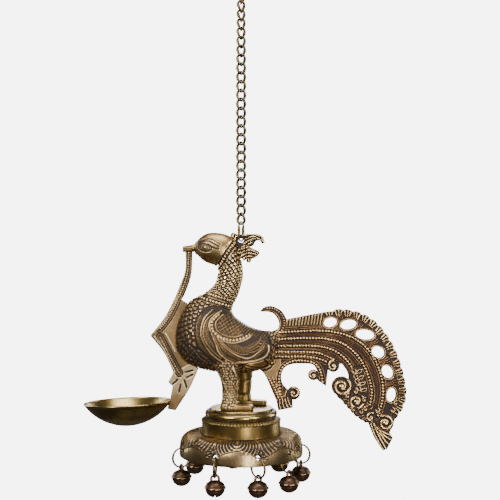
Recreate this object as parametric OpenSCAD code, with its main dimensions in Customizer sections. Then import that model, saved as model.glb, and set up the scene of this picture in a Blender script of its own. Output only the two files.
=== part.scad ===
// Hanging brass peacock oil lamp: a cast bird on a turned plinth and a petalled skirt with
// eight small bells, holding an oil bowl on a ladle stem, and hung by its crest from a chain.
// The origin is where the top hook bears on what carries it. The bird faces -X.

/* [Base] */
// Diameter of the petalled skirt at its rim
base_d = 104.8; // [100:0.2:110]
// Height of the skirt, from its rim to the seat of the plinth
skirt_h = 18; // [17:0.5:20]
// Wall thickness of the skirt
skirt_wall = 2.5; // [2:0.1:3]
// Diameter of the turned drum
drum_d = 67.6; // [64:0.2:70]
// Height of the whole plinth, from its seat to the plate that the feet stand on
plinth_h = 21.9; // [20:0.1:24]
// Diameter of the plate that the feet stand on
foot_plate_d = 53.5; // [50:0.5:56]
// Diameter of the threaded stud under the plinth
stud_d = 8; // [6:0.5:10]

/* [Bird] */
// Thickness of the two feet
foot_t = 5; // [4:0.5:6]
// Distance between the middles of the two feet
foot_gap = 28; // [26:1:30]
// Thickness of the tail plate
tail_t = 5; // [4:0.5:6]
// Thickness of the ladle stem
stem_t = 6; // [5:0.5:7]
// Thickness of the crest's plumes
plume_t = 8; // [6:0.5:9]
// Thickness of the crest at the hole that the lamp hangs by
lug_t = 2.8; // [2.6:0.1:3.2]

/* [Oil bowl] */
// Outer diameter of the oil bowl
bowl_d = 75; // [70:0.5:78]
// Depth of the oil bowl, outside
bowl_h = 20; // [18:0.5:21]
// Wall thickness of the oil bowl
bowl_wall = 1.6; // [1.2:0.1:2]

/* [Bells] */
// Diameter of a bell
bell_d = 17.6; // [16:0.1:18]
// Height of a bell without its lug
bell_h = 13.6; // [12:0.1:15]
// Share of that height above the bell's seam
bell_upper = 0.42; // [0.35:0.01:0.5]
// Wall thickness of a bell
bell_wall = 0.9; // [0.7:0.1:1.2]
// Width of the slot under a bell
bell_slot = 1.8; // [1.5:0.1:2.2]
// Diameter of the loose iron pellet in a bell
pellet_d = 3.8; // [3:0.1:4]
// Middle radius of the ring that carries a bell
ring_r = 8; // [7.5:0.1:8.5]
// Wire diameter of that ring
ring_wire = 1.4; // [1.2:0.1:1.6]

/* [Chain] */
// Distance from one chain link to the next
pitch = 7.5; // [7.4:0.1:7.8]
// Wire diameter of the chain
chain_wire = 1.9; // [1.8:0.05:2]
// Half width of a link, to the middle of its wire
link_r = 3.6; // [3.5:0.05:3.8]
// Turn of a curb link's two ends against its middle, in degrees
curb = 42; // [40:1:46]

/* [Hidden] */
LINKS = 26;
BELLS = 8;
gap = 0.15;            // play between two pieces that hang on each other

// Places on the lamp, measured from the middle of the skirt's rim
plate_z = skirt_h + plinth_h;
crest_hole = [0, 180.7];
crest_hole_r = 2.5;
crest_pivot_z = crest_hole[1] + 0.4;
bowl_at = [-97.3, 43.2];
bowl_tilt = [-3, 2.4];  // the bowl leans a little to the back and away from the bird
bell_angles = [-123, -74, -20, 19.4, 54, 97, 142, -168];
ring_turn = [0, 12, 18, 28, 10, -15, 0, 10];
ring_hole_z = 8;
ring_hole_r = 1.9;
ring_top_z = 7.5;

// Crest ring: the long link that joins the crest's hole to the chain
ring_len = 18.2;
ring_half = 3.7;
crest_wire = 1.8;       // room that the link and the crest leave for its wire
crest_bar = 1.5;        // its wire, thinner than that room so that it swings clear of the link
crest_ring_dir = 62;

// Chain, counted from the hook down
link_h = (pitch + 2 * chain_wire + gap) / 2 - chain_wire / 2;
low_link_z = crest_pivot_z - crest_wire / 2 + ring_len - crest_wire / 2
           - (crest_wire + chain_wire) / 2 - gap + link_h;
function link_z(k) = low_link_z + (LINKS - k) * pitch;
function link_yaw(k) = k < 13 ? (13 - k) * 4.6 : k > LINKS - 2 ? (LINKS - 2 - k) * 15 : 0;

// Top hook
hook_wire = 2.5;
eye_r = 4.5;
eye_z = link_z(1) + link_h - (chain_wire + hook_wire) / 2 - gap + eye_r;
hook_dir = link_yaw(1) - curb + 90;
bearing = 36 - hook_wire / 2;
hang_h = eye_z + bearing;

function two(k) = k < 10 ? str("0", k) : str(k);
function link_name(k) = str("chain_link_", two(k));
function ring_name(k) = str("bell_ring_", k);
function bell_name(k) = str("bell_", k);
function pellet_name(k) = str("bell_pellet_", k);

// ---- shared geometry ----

// A smooth line through points a, b, c and d, between b and c
function bend(a, b, c, d, t) =
    0.5 * (2 * b + (c - a) * t + (2 * a - 5 * b + 4 * c - d) * t * t
           + (3 * b - a - 3 * c + d) * t * t * t);
// An open curve through all the points, with n steps between each two
function curve(p, n = 4) =
    let(last = len(p) - 1)
    concat([for (i = [0:last - 1], s = [0:n - 1])
        bend(p[max(i - 1, 0)], p[i], p[i + 1], p[min(i + 2, last)], s / n)], [p[last]]);
// A closed curve through all the points
function loop(p, n = 4) =
    let(m = len(p))
    [for (i = [0:m - 1], s = [0:n - 1])
        bend(p[(i + m - 1) % m], p[i], p[(i + 1) % m], p[(i + 2) % m], s / n)];
function oval(at, half, turn, n = 24) =
    [for (i = [0:n - 1]) let(a = 360 * i / n, x = half[0] * cos(a), z = half[1] * sin(a))
        at + [x * cos(turn) - z * sin(turn), x * sin(turn) + z * cos(turn)]];
function unit(v) = v / norm(v);
// How far along a line each of its points lies
function distances(p, i = 0, s = 0) =
    i >= len(p) ? [] : concat([s], distances(p, i + 1, i + 1 < len(p) ? s + norm(p[i + 1] - p[i]) : s));

// A surface through rings of points of the same count, closed on itself or capped at its ends
module skin(rings, closed = false) {
    n = len(rings[0]);
    m = len(rings);
    sides = [for (i = [0:m - (closed ? 1 : 2)], j = [0:n - 1])
        let(k = (i + 1) % m, l = (j + 1) % n)
        each [[i * n + j, k * n + j, k * n + l], [i * n + j, k * n + l, i * n + l]]];
    caps = closed ? [] : [[for (j = [0:n - 1]) j], [for (j = [n - 1:-1:0]) (m - 1) * n + j]];
    polyhedron([for (r = rings) each r], concat(sides, caps));
}
// Round wire along a path, with each section square to it
module wire(path, d, sides = 8, closed = false) {
    m = len(path);
    skin([for (i = [0:m - 1])
        let(before = path[closed ? (i + m - 1) % m : max(i - 1, 0)],
            after = path[closed ? (i + 1) % m : min(i + 1, m - 1)],
            t = unit(after - before), u = unit(cross(t, side_of(path, i))), v = cross(u, t))
        [for (j = [0:sides - 1]) let(a = -360 * j / sides)
            path[i] + d / 2 * (cos(a) * u + sin(a) * v)]], closed);
}
// A direction that no section of the wire is parallel to: from the path's middle outward
function side_of(path, i) = path[i] - path_middle(path) + [0, 0, 0.001];
function path_middle(path) = [for (c = [0:2]) sum([for (p = path) p[c]]) / len(path)];
function sum(list, i = 0) = i >= len(list) ? 0 : list[i] + sum(list, i + 1);

// A plate standing on its edge, drawn as [x, height] and centred on y
module plate(t) {
    rotate([90, 0, 0]) translate([0, 0, -t / 2]) linear_extrude(t) children();
}
module disc(at, r) {
    translate(at) circle(r, $fn = 40);
}
module lamp() {
    translate([0, 0, -hang_h]) children();
}

// ---- hook, chain and crest ring ----

hook_path = concat(
    [for (a = [60:-20:-240]) eye_r * [cos(a), sin(a)]],
    curve([[-1.3, 4.9], [0, 8.5], [-0.6, 13], [-5.2, 19.2], [-8.6, 24], [-8.6, 30], [-5, 34.8],
        [0, 36], [5, 34.5], [8.4, 30], [8.7, 24.5], [9.6, 20]], 3));

module top_hook() {
    color("darkgoldenrod") lamp() translate([0, 0, eye_z]) rotate([0, 0, hook_dir])
        wire([for (p = hook_path) [p[0], 0, p[1]]], hook_wire, 10);
}

// The middle line of a link: an oval whose upper and lower ends are turned against each other
function link_path(r, h, turn, n) =
    [for (i = [0:n - 1]) let(t = 360 * i / n, a = turn * sin(t))
        [r * cos(t) * cos(a), r * cos(t) * sin(a), h * sin(t)]];

module chain_link(k) {
    color("goldenrod") lamp() translate([0, 0, link_z(k)]) rotate([0, 0, link_yaw(k)])
        wire(link_path(link_r, link_h, -curb, 20), chain_wire, 8, true);
}

module crest_ring() {
    reach = ring_len / 2 - crest_wire / 2 - ring_half;
    path = [for (end = [0, 180], a = [0:22.5:180])
        [ring_half * cos(a + end), 0, ring_half * sin(a + end) + (end == 0 ? reach : -reach)]];
    color("goldenrod") lamp()
        translate([0, 0, crest_pivot_z - crest_wire / 2 + ring_len / 2])
            rotate([0, 0, crest_ring_dir]) wire(path, crest_bar, 8, true);
}

// ---- crest ----

crest_root = loop([[-9, 184.5], [-7.2, 188.3], [-2, 186.6], [3.2, 187], [5.4, 184], [5.4, 170],
    [3, 164.5], [-1, 168], [-7, 176]], 3);
upper_plume = concat(
    curve([[4.5, 187.2], [10, 187.4], [15, 186.8], [19, 184.2], [20.2, 179.5]]),
    curve([[17.8, 178.8], [16, 181.4], [12.5, 181], [10, 177], [4.5, 176]]));
lower_plume = concat(
    curve([[4.5, 177], [10, 175], [15.5, 171.8], [14.5, 169], [11, 166.5]]),
    curve([[9, 166], [7.6, 162.8], [4.5, 163.5]]));

module head_crest() {
    color("saddlebrown") lamp() difference() {
        union() {
            plate(lug_t) polygon(crest_root);
            plate(plume_t) polygon(upper_plume);
            plate(plume_t) polygon(lower_plume);
        }
        translate([crest_hole[0], 0, crest_hole[1]]) rotate([90, 0, 0])
            cylinder(h = 12, r = crest_hole_r, center = true, $fn = 48);
    }
}

// ---- bird ----

// Sections from the tail's root to the beak: [lower x, z, upper x, z, half width]
body_sections = [
    [31, 88, 33, 95, 4], [24, 76, 29, 103.5, 11], [8, 69.8, 17, 105.4, 17.5],
    [-11, 69.4, 5, 110, 20.5], [-30, 71.6, -4.5, 116.5, 22.5], [-45.5, 77, -7.8, 121, 22.5],
    [-54.3, 87, -7.6, 124, 21.5], [-56, 101, -6.6, 127, 19.5], [-52, 117, -4.6, 131, 16.5],
    [-43.5, 130, -2, 137, 13.5], [-31.5, 136.5, 0, 144, 11.5], [-22.8, 144, 1.5, 151, 10.3],
    [-20, 152, 1.2, 158.5, 10], [-19.4, 158.5, -0.6, 168, 10.3], [-18.6, 160.2, -5.6, 181.5, 11.2],
    [-23.5, 161, -14, 187, 12], [-31, 163.8, -27, 188, 10.8], [-37.3, 169.3, -35, 184, 7.6],
    [-39.6, 172.2, -39.4, 178.6, 4.2], [-43.5, 171.8, -43.5, 177.6, 3.2], [-49.8, 171.8, -49.6, 176.6, 2.4]];

module trunk(sides = 28) {
    skin([for (s = curve(body_sections, 3))
        let(low = [s[0], 0, s[1]], high = [s[2], 0, s[3]], mid = (low + high) / 2,
            arm = (high - low) / 2)
        [for (j = [0:sides - 1]) let(a = 360 * j / sides)
            mid + arm * cos(a) + [0, s[4] * sin(a), 0]]]);
}

// side is -1 for the bird's left leg and 1 for its right; shift moves the leg along the bird
module leg(side, shift) {
    y = side * foot_gap / 2;
    hull() {
        translate([-11 + shift, y * 0.8, 84]) sphere(9.5, $fn = 20);
        translate([-9 + shift, y, 62]) sphere(7.2, $fn = 20);
    }
    hull() {
        translate([-9 + shift, y, 62]) sphere(7.2, $fn = 20);
        translate([-9 + shift, y, plate_z]) cylinder(h = foot_t, r = 6.4, $fn = 20);
    }
    hull() {
        translate([-9.5 + shift, y, plate_z]) cylinder(h = foot_t, r = 6.5, $fn = 24);
        translate([6 + shift, y, plate_z]) cylinder(h = foot_t, r = 5.5, $fn = 24);
    }
}

// The hollow left by the casting core, which leaves by a round hole between the legs
module core() {
    hull() {
        translate([-33, 0, 99]) sphere(17, $fn = 24);
        translate([2, 0, 89]) sphere(12.5, $fn = 24);
    }
    translate([-12, 0, 60]) cylinder(h = 25, r = 5, $fn = 24);
}

// The tail, the stem and the crest's root sit in slots of their own in the body
module peacock_body() {
    color("goldenrod") lamp() difference() {
        union() {
            trunk();
            leg(-1, 0);
            leg(1, 10);
        }
        core();
        tail_solid();
        stem_solid();
        plate(lug_t) polygon(crest_root);
        hull() for (z = [0, 20]) translate([4.5, -10, 164 + z]) cube([20, 20, 1]);
    }
}

// ---- tail ----

crook = concat(
    curve([[9, 100], [26, 104.6], [31.2, 107], [32, 113], [27.5, 119.6], [21, 121.2], [16.6, 121]]),
    curve([[16.4, 122], [19.5, 124.8], [26, 126], [34.2, 122], [39, 114.6]]));
// Round lobes of a given width and depth on the left of a line, from a distance along it onward
function lobed(p, width, depth, from) =
    let(s = distances(p))
    [for (i = [0:len(p) - 1])
        let(t = unit(p[min(i + 1, len(p) - 1)] - p[max(i - 1, 0)]),
            lift = s[i] > from ? depth * pow(abs(sin(180 * (s[i] - from) / width)), 0.7) : 0)
        p[i] + lift * [-t[1], t[0]]];
outer_edge = lobed(curve([[41, 115.4], [68, 120.6], [78, 121.8], [86, 122.2], [97, 120.4],
    [107.5, 116], [116, 109], [123, 100], [128.6, 90], [133.2, 78], [136.6, 65], [138, 52],
    [135.4, 41.5], [131, 34.5]], 8), 8, 1.5, 38);
end_tuft = [[128.4, 27.5], [125.4, 20], [128, 15.5], [123, 5.6], [119.4, 4.8], [112.6, 15], [107, 28.4]];
inner_edge = concat(
    [[103, 30], [96, 35], [88, 44], [81, 50]],
    curve([[84, 56], [90.4, 64], [89.6, 71], [85, 77.6]]),
    [[74, 74], [72, 58.4], [66, 62.5], [62, 66]],
    curve([[64.2, 72], [60.8, 76.6], [52, 77.4], [43, 76.8], [37, 73.6], [34.2, 67], [35.4, 60],
        [40, 55]]),
    [[43.6, 48], [44, 40], [31.6, 37.6], [30, 46], [26, 55]],
    curve([[22.4, 63.6], [17.6, 70.8], [8, 75], [-3, 77]]),
    [[-3, 83], [9, 84]]);
// Scrolls that stand out of the edge: [x, z, radius]
scrolls = [[45.4, 52, 5.2], [60.4, 68.6, 3.8], [78, 75.6, 5.2], [85, 58.4, 8.4], [97.4, 45.8, 7.4],
    [109.4, 32.6, 4.6], [121.6, 28, 7.2]];
// Openings between the outer feathers: [x, z, half length, half width, turn]
windows = [[75.6, 112.4, 5.4, 3.8, 15], [90.8, 110.6, 6.6, 3.9, 10], [104.8, 102.2, 7.6, 4.1, -6],
    [115.6, 87.6, 5.4, 4.4, -35], [123.4, 71, 5.6, 4.2, -60], [126.6, 51.6, 5.8, 3.6, -98]];

module tail_solid() {
    difference() {
        union() {
            plate(tail_t) polygon(concat(crook, outer_edge, end_tuft, inner_edge));
            for (s = scrolls) plate(tail_t) disc([s[0], s[1]], s[2]);
        }
        for (w = windows) plate(tail_t + 2) polygon(oval([w[0], w[1]], [w[2], w[3]], w[4]));
    }
}
module tail_plate() {
    color("sienna") lamp() tail_solid();
}

// ---- ladle ----

stem_outer = concat(
    curve([[-47.6, 172.4], [-47.6, 156.5], [-52.4, 143], [-58.4, 129], [-66.4, 114.6], [-77.4, 101]]),
    curve([[-77, 99.6], [-66, 86], [-58, 69.4]]),
    [[-62.4, 60.6], [-58.6, 57.6], [-60.6, 46.5], [-63, 38]]);
stem_inner = concat(
    curve([[-56, 36.6], [-50.5, 45], [-43.4, 56.6], [-36.4, 72.6]]),
    curve([[-41, 79], [-47.6, 86.6], [-53, 95], [-54, 104], [-49.6, 116], [-43, 126.4]]),
    [[-51, 131]],
    curve([[-48.6, 135], [-44.4, 146], [-42.2, 156], [-41.6, 172.4]]));

module stem_solid() {
    plate(stem_t) polygon(concat(stem_outer, stem_inner));
}
module place_bowl() {
    translate([bowl_at[0], 0, bowl_at[1]]) rotate([bowl_tilt[0], -bowl_tilt[1], 0]) children();
}
module bowl_form(r, h, lift = 0) {
    // a dished form of depth h whose rim is a circle of radius r, set h under the rim's height
    round_r = (r * r + h * h) / (2 * h);
    intersection() {
        translate([0, 0, round_r - h]) sphere(round_r, $fn = 96);
        translate([0, 0, -h - 1]) cylinder(h = h + 1 + lift, r = r + 1, $fn = 96);
    }
}
module ladle_stem() {
    color("goldenrod") lamp() difference() {
        stem_solid();
        place_bowl() bowl_form(bowl_d / 2, bowl_h, 4);
    }
}
module oil_bowl() {
    color("darkgoldenrod") lamp() place_bowl() difference() {
        bowl_form(bowl_d / 2, bowl_h);
        bowl_form(bowl_d / 2 - bowl_wall, bowl_h - bowl_wall, 1);
    }
}

// ---- base ----

module foot_plinth() {
    r = drum_d / 2;
    p = foot_plate_d / 2;
    s = skirt_h;
    top = plate_z;
    bead = [for (a = [110:-20:-70]) [p + 1.2 + 2.7 * cos(a), top - 4.7 + 2.7 * sin(a)]];
    color("darkgoldenrod") lamp() rotate_extrude($fn = 96) polygon(concat(
        [[0, top], [p, top], [p, top - 1.4]], bead,
        [[p + 2.6, top - 7.7], [r - 1, top - 9.2], [r, top - 10], [r - 0.4, top - 11]],
        [[r - 0.4, s], [r - 3, s], [r - 3, top - 12.4], [p - 1.5, top - 9], [p - 4, top - 3.4]],
        [[stud_d / 2, top - 3.4], [stud_d / 2, s - 10.6], [stud_d / 2 - 0.8, s - 11.4], [0, s - 11.4]]));
}

module petal_skirt() {
    R = base_d / 2;
    h = skirt_h;
    w = skirt_wall;
    hub = stud_d / 2 + 0.2;
    outer = curve([[R - 17.4, h], [R - 8, h - 0.2], [R - 3.4, h - 2.6], [R - 1, h - 7], [R - 0.2, 7.6]], 4);
    inner = curve([[R - 0.2 - w, 7.6], [R - 1.2 - w, h - 7.6], [R - 5.4, h - 2.6 - w], [R - 9, h - w]], 4);
    color("darkgoldenrod") lamp() difference() {
        rotate_extrude($fn = 96)
            polygon(concat([[hub, h]], outer, [[R, 0], [R - w, 0]], inner, [[hub, h - w]]));
        for (a = bell_angles) rotate([0, 0, a - 90]) translate([R - w - 4, 0, ring_hole_z])
            rotate([0, 90, 0]) cylinder(h = w + 8, r = ring_hole_r, $fn = 32);
    }
}

module base_nut() {
    color("goldenrod") lamp() translate([0, 0, skirt_h - skirt_wall - 5]) difference() {
        cylinder(h = 5, r = stud_d * 0.92, $fn = 6);
        translate([0, 0, -1]) cylinder(h = 7, r = stud_d / 2, $fn = 48);
    }
}

// ---- bells ----

// Everything about bell k is drawn hanging at the wall's middle, x outward and z from the rim
module at_bell(k) {
    lamp() rotate([0, 0, bell_angles[k - 1] - 90])
        translate([base_d / 2 - skirt_wall / 2 - 0.1, 0, 0]) rotate([0, 0, ring_turn[k - 1]]) children();
}
lug_r = 3.2;
lug_wire = 2.2;
lug_sunk = 2.2;         // how far the lug's lowest wire lies under the top of the bell
ring_low_z = ring_top_z - 2 * ring_r;
lug_top_z = ring_low_z + (ring_wire + lug_wire) / 2 + 0.1;
bell_up = bell_upper * bell_h;
bell_down = bell_h - bell_up;
seam_z = lug_top_z - 2 * lug_r - bell_up + lug_sunk;

module bell_ring(k) {
    color("tan") at_bell(k) translate([0, 0, ring_top_z - ring_r]) rotate([90, 0, 0])
        rotate_extrude($fn = 64) translate([ring_r, 0]) circle(ring_wire / 2, $fn = 24);
}

// Half outline of a bell: an upper and a lower cap that meet at a raised seam
function bell_line(r, up, down) =
    concat([for (a = [90:-10:10]) [r * cos(a), up * pow(sin(a), 0.9)]], [[r * 0.995, 0]],
           [for (a = [-10:-10:-90]) [r * cos(a), -down * pow(-sin(a), 0.9)]]);

module bell(k) {
    r = bell_d / 2;
    w = bell_wall;
    color("saddlebrown") at_bell(k) {
        translate([0, 0, seam_z]) difference() {
            union() {
                rotate_extrude($fn = 64) polygon(bell_line(r - 0.7, bell_up, bell_down));
                cylinder(h = 1.4, r = r, center = true, $fn = 64);
            }
            rotate_extrude($fn = 64) polygon(bell_line(r - 0.7 - w, bell_up - w, bell_down - w));
            translate([-r, -bell_slot / 2, -bell_down - 1]) cube([2 * r, bell_slot, bell_down - 1.6]);
        }
        translate([0, 0, lug_top_z - lug_r]) rotate([0, 90, 0]) difference() {
            rotate_extrude($fn = 48) translate([lug_r, 0]) circle(lug_wire / 2, $fn = 20);
            translate([lug_r - 1.3, -5, -2]) cube([4, 10, 4]);
        }
    }
}

module bell_pellet(k) {
    color("dimgray") at_bell(k)
        translate([0, 0, seam_z - bell_down + bell_wall + pellet_d / 2 + 0.15])
            sphere(pellet_d / 2, $fn = 32);
}

// ---- nodes ----

top_hook();
for (k = [1:LINKS]) chain_link(k);
crest_ring();
head_crest();
peacock_body();
tail_plate();
ladle_stem();
oil_bowl();
foot_plinth();
petal_skirt();
base_nut();
for (k = [1:BELLS]) bell_ring(k);
for (k = [1:BELLS]) bell(k);
for (k = [1:BELLS]) bell_pellet(k);
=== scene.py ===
"""A hanging brass peacock oil lamp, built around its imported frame.

Sizes are in millimetres on the lamp's own axes: x along the bird (which faces -x), y across it
and z up from the rim of the base. place() turns them into the frame's metres.
"""
import math

import bpy
import numpy as np
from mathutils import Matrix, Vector


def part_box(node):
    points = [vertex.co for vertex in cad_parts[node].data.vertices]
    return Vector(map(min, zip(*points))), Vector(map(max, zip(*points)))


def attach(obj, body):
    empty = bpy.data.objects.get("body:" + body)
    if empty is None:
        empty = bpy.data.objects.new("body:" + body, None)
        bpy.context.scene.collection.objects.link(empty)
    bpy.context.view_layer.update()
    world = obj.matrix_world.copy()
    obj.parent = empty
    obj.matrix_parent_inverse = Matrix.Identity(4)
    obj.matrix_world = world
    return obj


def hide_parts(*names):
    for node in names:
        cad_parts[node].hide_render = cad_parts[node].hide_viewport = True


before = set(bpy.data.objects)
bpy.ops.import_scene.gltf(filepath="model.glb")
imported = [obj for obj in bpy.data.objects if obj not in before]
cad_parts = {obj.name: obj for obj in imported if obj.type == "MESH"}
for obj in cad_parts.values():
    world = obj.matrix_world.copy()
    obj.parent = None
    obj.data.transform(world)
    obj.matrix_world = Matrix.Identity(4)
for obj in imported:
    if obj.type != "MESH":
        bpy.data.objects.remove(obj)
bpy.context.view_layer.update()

MM = 0.001
RIM_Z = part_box("petal_skirt")[0][2]
RANDOM = np.random.default_rng(7)


def place(points):
    """Lamp millimetres to frame metres."""
    out = np.asarray(points, float) * MM
    out[..., 2] += RIM_Z
    return out


def lamp_mm(point):
    """A frame position in metres to lamp millimetres."""
    return np.array([point[0], point[1], point[2] - RIM_Z]) / MM


def middle(node):
    low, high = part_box(node)
    return (lamp_mm(low) + lamp_mm(high)) / 2


def extent(node):
    low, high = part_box(node)
    return lamp_mm(high) - lamp_mm(low)


# ---------------------------------------------------------------- camera

EYE_HEIGHT = 173.5      # the camera is level with the bird's head
EYE_DISTANCE = 792.0
EYE_SIDE = 7.6          # the picture's middle, along the bird
EYE_YAW = math.radians(3.5)
LENS = 67.1
SENSOR = 36

camera_data = bpy.data.cameras.new("camera")
camera_data.lens = LENS
camera_data.sensor_width = SENSOR
camera = bpy.data.objects.new("camera", camera_data)
bpy.context.collection.objects.link(camera)
camera.location = place([EYE_SIDE + EYE_DISTANCE * math.sin(EYE_YAW),
                         -EYE_DISTANCE * math.cos(EYE_YAW), EYE_HEIGHT])
camera.rotation_euler = (math.radians(90), 0, EYE_YAW)
bpy.context.scene.camera = camera


# ---------------------------------------------------------------- curves and fields

def spline(points, steps=8, closed=False):
    """A smooth line through all the points."""
    p = np.asarray(points, float)
    n = len(p)
    take = (lambda i: p[i % n]) if closed else (lambda i: p[min(max(i, 0), n - 1)])
    t = np.linspace(0, 1, steps, endpoint=False)[:, None]
    parts = []
    for i in range(n if closed else n - 1):
        a, b, c, d = take(i - 1), take(i), take(i + 1), take(i + 2)
        parts.append(0.5 * (2 * b + (c - a) * t + (2 * a - 5 * b + 4 * c - d) * t ** 2
                            + (3 * b - a - 3 * c + d) * t ** 3))
    if not closed:
        parts.append(p[-1:])
    return np.concatenate(parts)


def smooth(x, low, high):
    t = np.clip((x - low) / (high - low), 0, 1)
    return t * t * (3 - 2 * t)


def run(line):
    """How far along a line each of its points lies."""
    return np.concatenate([[0], np.cumsum(np.linalg.norm(np.diff(line, axis=0), axis=1))])


def points_at(line, along, want):
    return np.stack([np.interp(want, along, line[:, k]) for k in range(line.shape[1])], 1)


def full_turn(steps):
    """Evenly spaced angles of a whole turn."""
    return np.linspace(0, 2 * np.pi, steps, endpoint=False)


def bump(x, width):
    """A soft bump of height 1 round x = 0."""
    return np.exp(-(x / width) ** 2)


def dome(d, r):
    """Height of a round bead or wire of radius r at distance d from its middle, from 0 to 1."""
    return np.sqrt(np.clip(1 - (d / r) ** 2, 0, 1))


def near_path(points, path):
    """For each point, its distance to the path, how far along the path it lies, and its side."""
    a, b = path[:-1], path[1:]
    seg = b - a
    length = np.linalg.norm(seg, axis=1)
    start = np.concatenate([[0], np.cumsum(length)[:-1]])
    best = np.full(len(points), 1e9)
    along = np.zeros(len(points))
    side = np.zeros(len(points))
    for i in range(len(a)):
        if length[i] < 1e-9:
            continue
        rel = points - a[i]
        t = np.clip(rel @ seg[i] / length[i] ** 2, 0, 1)
        off = rel - t[:, None] * seg[i]
        d = np.hypot(off[:, 0], off[:, 1])
        hit = d < best
        best[hit] = d[hit]
        along[hit] = start[i] + t[hit] * length[i]
        side[hit] = np.sign(seg[i][0] * rel[hit, 1] - seg[i][1] * rel[hit, 0])
    return best, along, side


def polygon_distance(points, outline):
    """Signed distance to a closed outline, negative inside."""
    closed = np.concatenate([outline, outline[:1]])
    best = np.full(len(points), 1e9)
    inside = np.zeros(len(points), bool)
    x, z = points[:, 0], points[:, 1]
    for a, b in zip(closed[:-1], closed[1:]):
        seg = b - a
        size = seg @ seg
        if size < 1e-12:
            continue
        rel = points - a
        t = np.clip(rel @ seg / size, 0, 1)
        off = rel - t[:, None] * seg
        best = np.minimum(best, np.hypot(off[:, 0], off[:, 1]))
        if a[1] != b[1]:
            cross = (a[1] > z) != (b[1] > z)
            inside ^= cross & (x < a[0] + (z - a[1]) * seg[0] / seg[1])
    return np.where(inside, -best, best)


def ellipse(at, half, turn, steps=28):
    t = full_turn(steps)
    c, s = math.cos(math.radians(turn)), math.sin(math.radians(turn))
    u, v = half[0] * np.cos(t), half[1] * np.sin(t)
    return np.stack([at[0] + u * c - v * s, at[1] + u * s + v * c], 1)


def ring_line(at, half, turn=0):
    """An ellipse as a path that ends where it starts."""
    line = ellipse(at, half, turn)
    return np.concatenate([line, line[:1]])


class Relief:
    """Carving on a surface whose points are seen from the side: height in mm, up from the ground."""

    def __init__(self, points, ground=None):
        self.p = points
        self.h = np.zeros(len(points)) if ground is None else ground.astype(float).copy()

    def _near(self, path, reach):
        low, high = path.min(0) - reach, path.max(0) + reach
        pick = np.where(np.all((self.p >= low) & (self.p <= high), axis=1))[0]
        d, s, side = near_path(self.p[pick], path)
        close = d < reach
        return pick[close], d[close], s[close], side[close]

    def ridge(self, path, r=0.8, height=0.9, moat=0.0):
        """A raised round line, with a low moat on both sides."""
        pick, d, _, _ = self._near(path, r + moat)
        ground = self.h[pick] * (smooth(d, 0.8 * r, r + moat) if moat else 1)
        self.h[pick] = np.maximum(ground, height * dome(d, r))

    def groove(self, path, r=0.6, depth=0.7):
        pick, d, _, _ = self._near(path, r)
        self.h[pick] -= depth * np.clip(1 - d / r, 0, 1) ** 0.7

    def beads(self, path, r=1.1, pitch=2.3, height=1.2, rails=0.0):
        """A row of beads, with a thin raised rail on both sides where rails is their distance."""
        total = np.linalg.norm(np.diff(path, axis=0), axis=1).sum()
        pitch = total / max(round(total / pitch), 1)
        pick, d, s, _ = self._near(path, r)
        across = np.abs((s / pitch) % 1 - 0.5) * pitch
        rise = height * dome(np.hypot(d, across), r)
        self.h[pick] = np.maximum(self.h[pick], rise)
        if rails:
            pick, d, _, _ = self._near(path, rails + 0.7)
            rise = 0.72 * height * dome(d - rails, 0.55)
            self.h[pick] = np.maximum(self.h[pick], rise)

    def barbs(self, path, inner, outer, side, pitch=1.3, depth=0.45, lean=0.6):
        """Fine slanted lines in the band between two distances on one side of the path."""
        pick, d, s, sd = self._near(path, outer)
        keep = (d > inner) & (sd == side)
        pick, d, s = pick[keep], d[keep], s[keep]
        wave = 0.5 + 0.5 * np.cos(2 * np.pi * (s + lean * d) / pitch)
        fade = smooth(d, inner, inner + 0.5) * (1 - smooth(d, outer - 0.5, outer))
        self.h[pick] = np.maximum(self.h[pick], depth * wave * fade)

    def scroll(self, at, r, turns=1.5, start=0.0, hand=1, wire=0.22, height=1.3):
        """A spiral that winds in to a ball."""
        t = np.linspace(0, 1, 60)
        radius = r * (1 - 0.8 * t) - r * wire * 0.5
        angle = math.radians(start) + hand * 2 * np.pi * turns * t
        path = np.stack([at[0] + radius * np.cos(angle), at[1] + radius * np.sin(angle)], 1)
        self.ridge(path, r * wire, height)
        d = np.hypot(self.p[:, 0] - at[0], self.p[:, 1] - at[1])
        pick = d < r * 0.3
        self.h[pick] = np.maximum(self.h[pick], 1.2 * height * dome(d[pick], r * 0.3))


# ---------------------------------------------------------------- meshes

def make(name, points, faces, body, nodes, material, wear_and_light=None):
    """A piece from lamp-millimetre points. wear_and_light (0 deep, 1 rubbed) drives its patina, and on some
    pieces painted highlights and painted shade.
    """
    mesh = bpy.data.meshes.new(name)
    mesh.from_pydata(place(points).tolist(), [], [tuple(int(i) for i in f) for f in faces])
    mesh.validate()
    if wear_and_light is not None:
        layer = mesh.attributes.new("wear_and_light", "FLOAT", "POINT")
        layer.data.foreach_set("value", np.clip(wear_and_light, 0, 1).astype(np.float32).reshape(-1))
    mesh.polygons.foreach_set("use_smooth", [True] * len(mesh.polygons))
    mesh.materials.append(material)
    piece = bpy.data.objects.new(name, mesh)
    bpy.context.collection.objects.link(piece)
    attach(piece, body)
    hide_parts(*nodes)


def quads(rows, columns, wrap=False):
    """Corner indices of a grid's cells, wrapped across its columns or not."""
    i, j = np.meshgrid(np.arange(rows - 1), np.arange(columns if wrap else columns - 1), indexing="ij")
    k = (j + 1) % columns
    return np.stack([i * columns + j, i * columns + k, (i + 1) * columns + k, (i + 1) * columns + j], -1)


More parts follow.
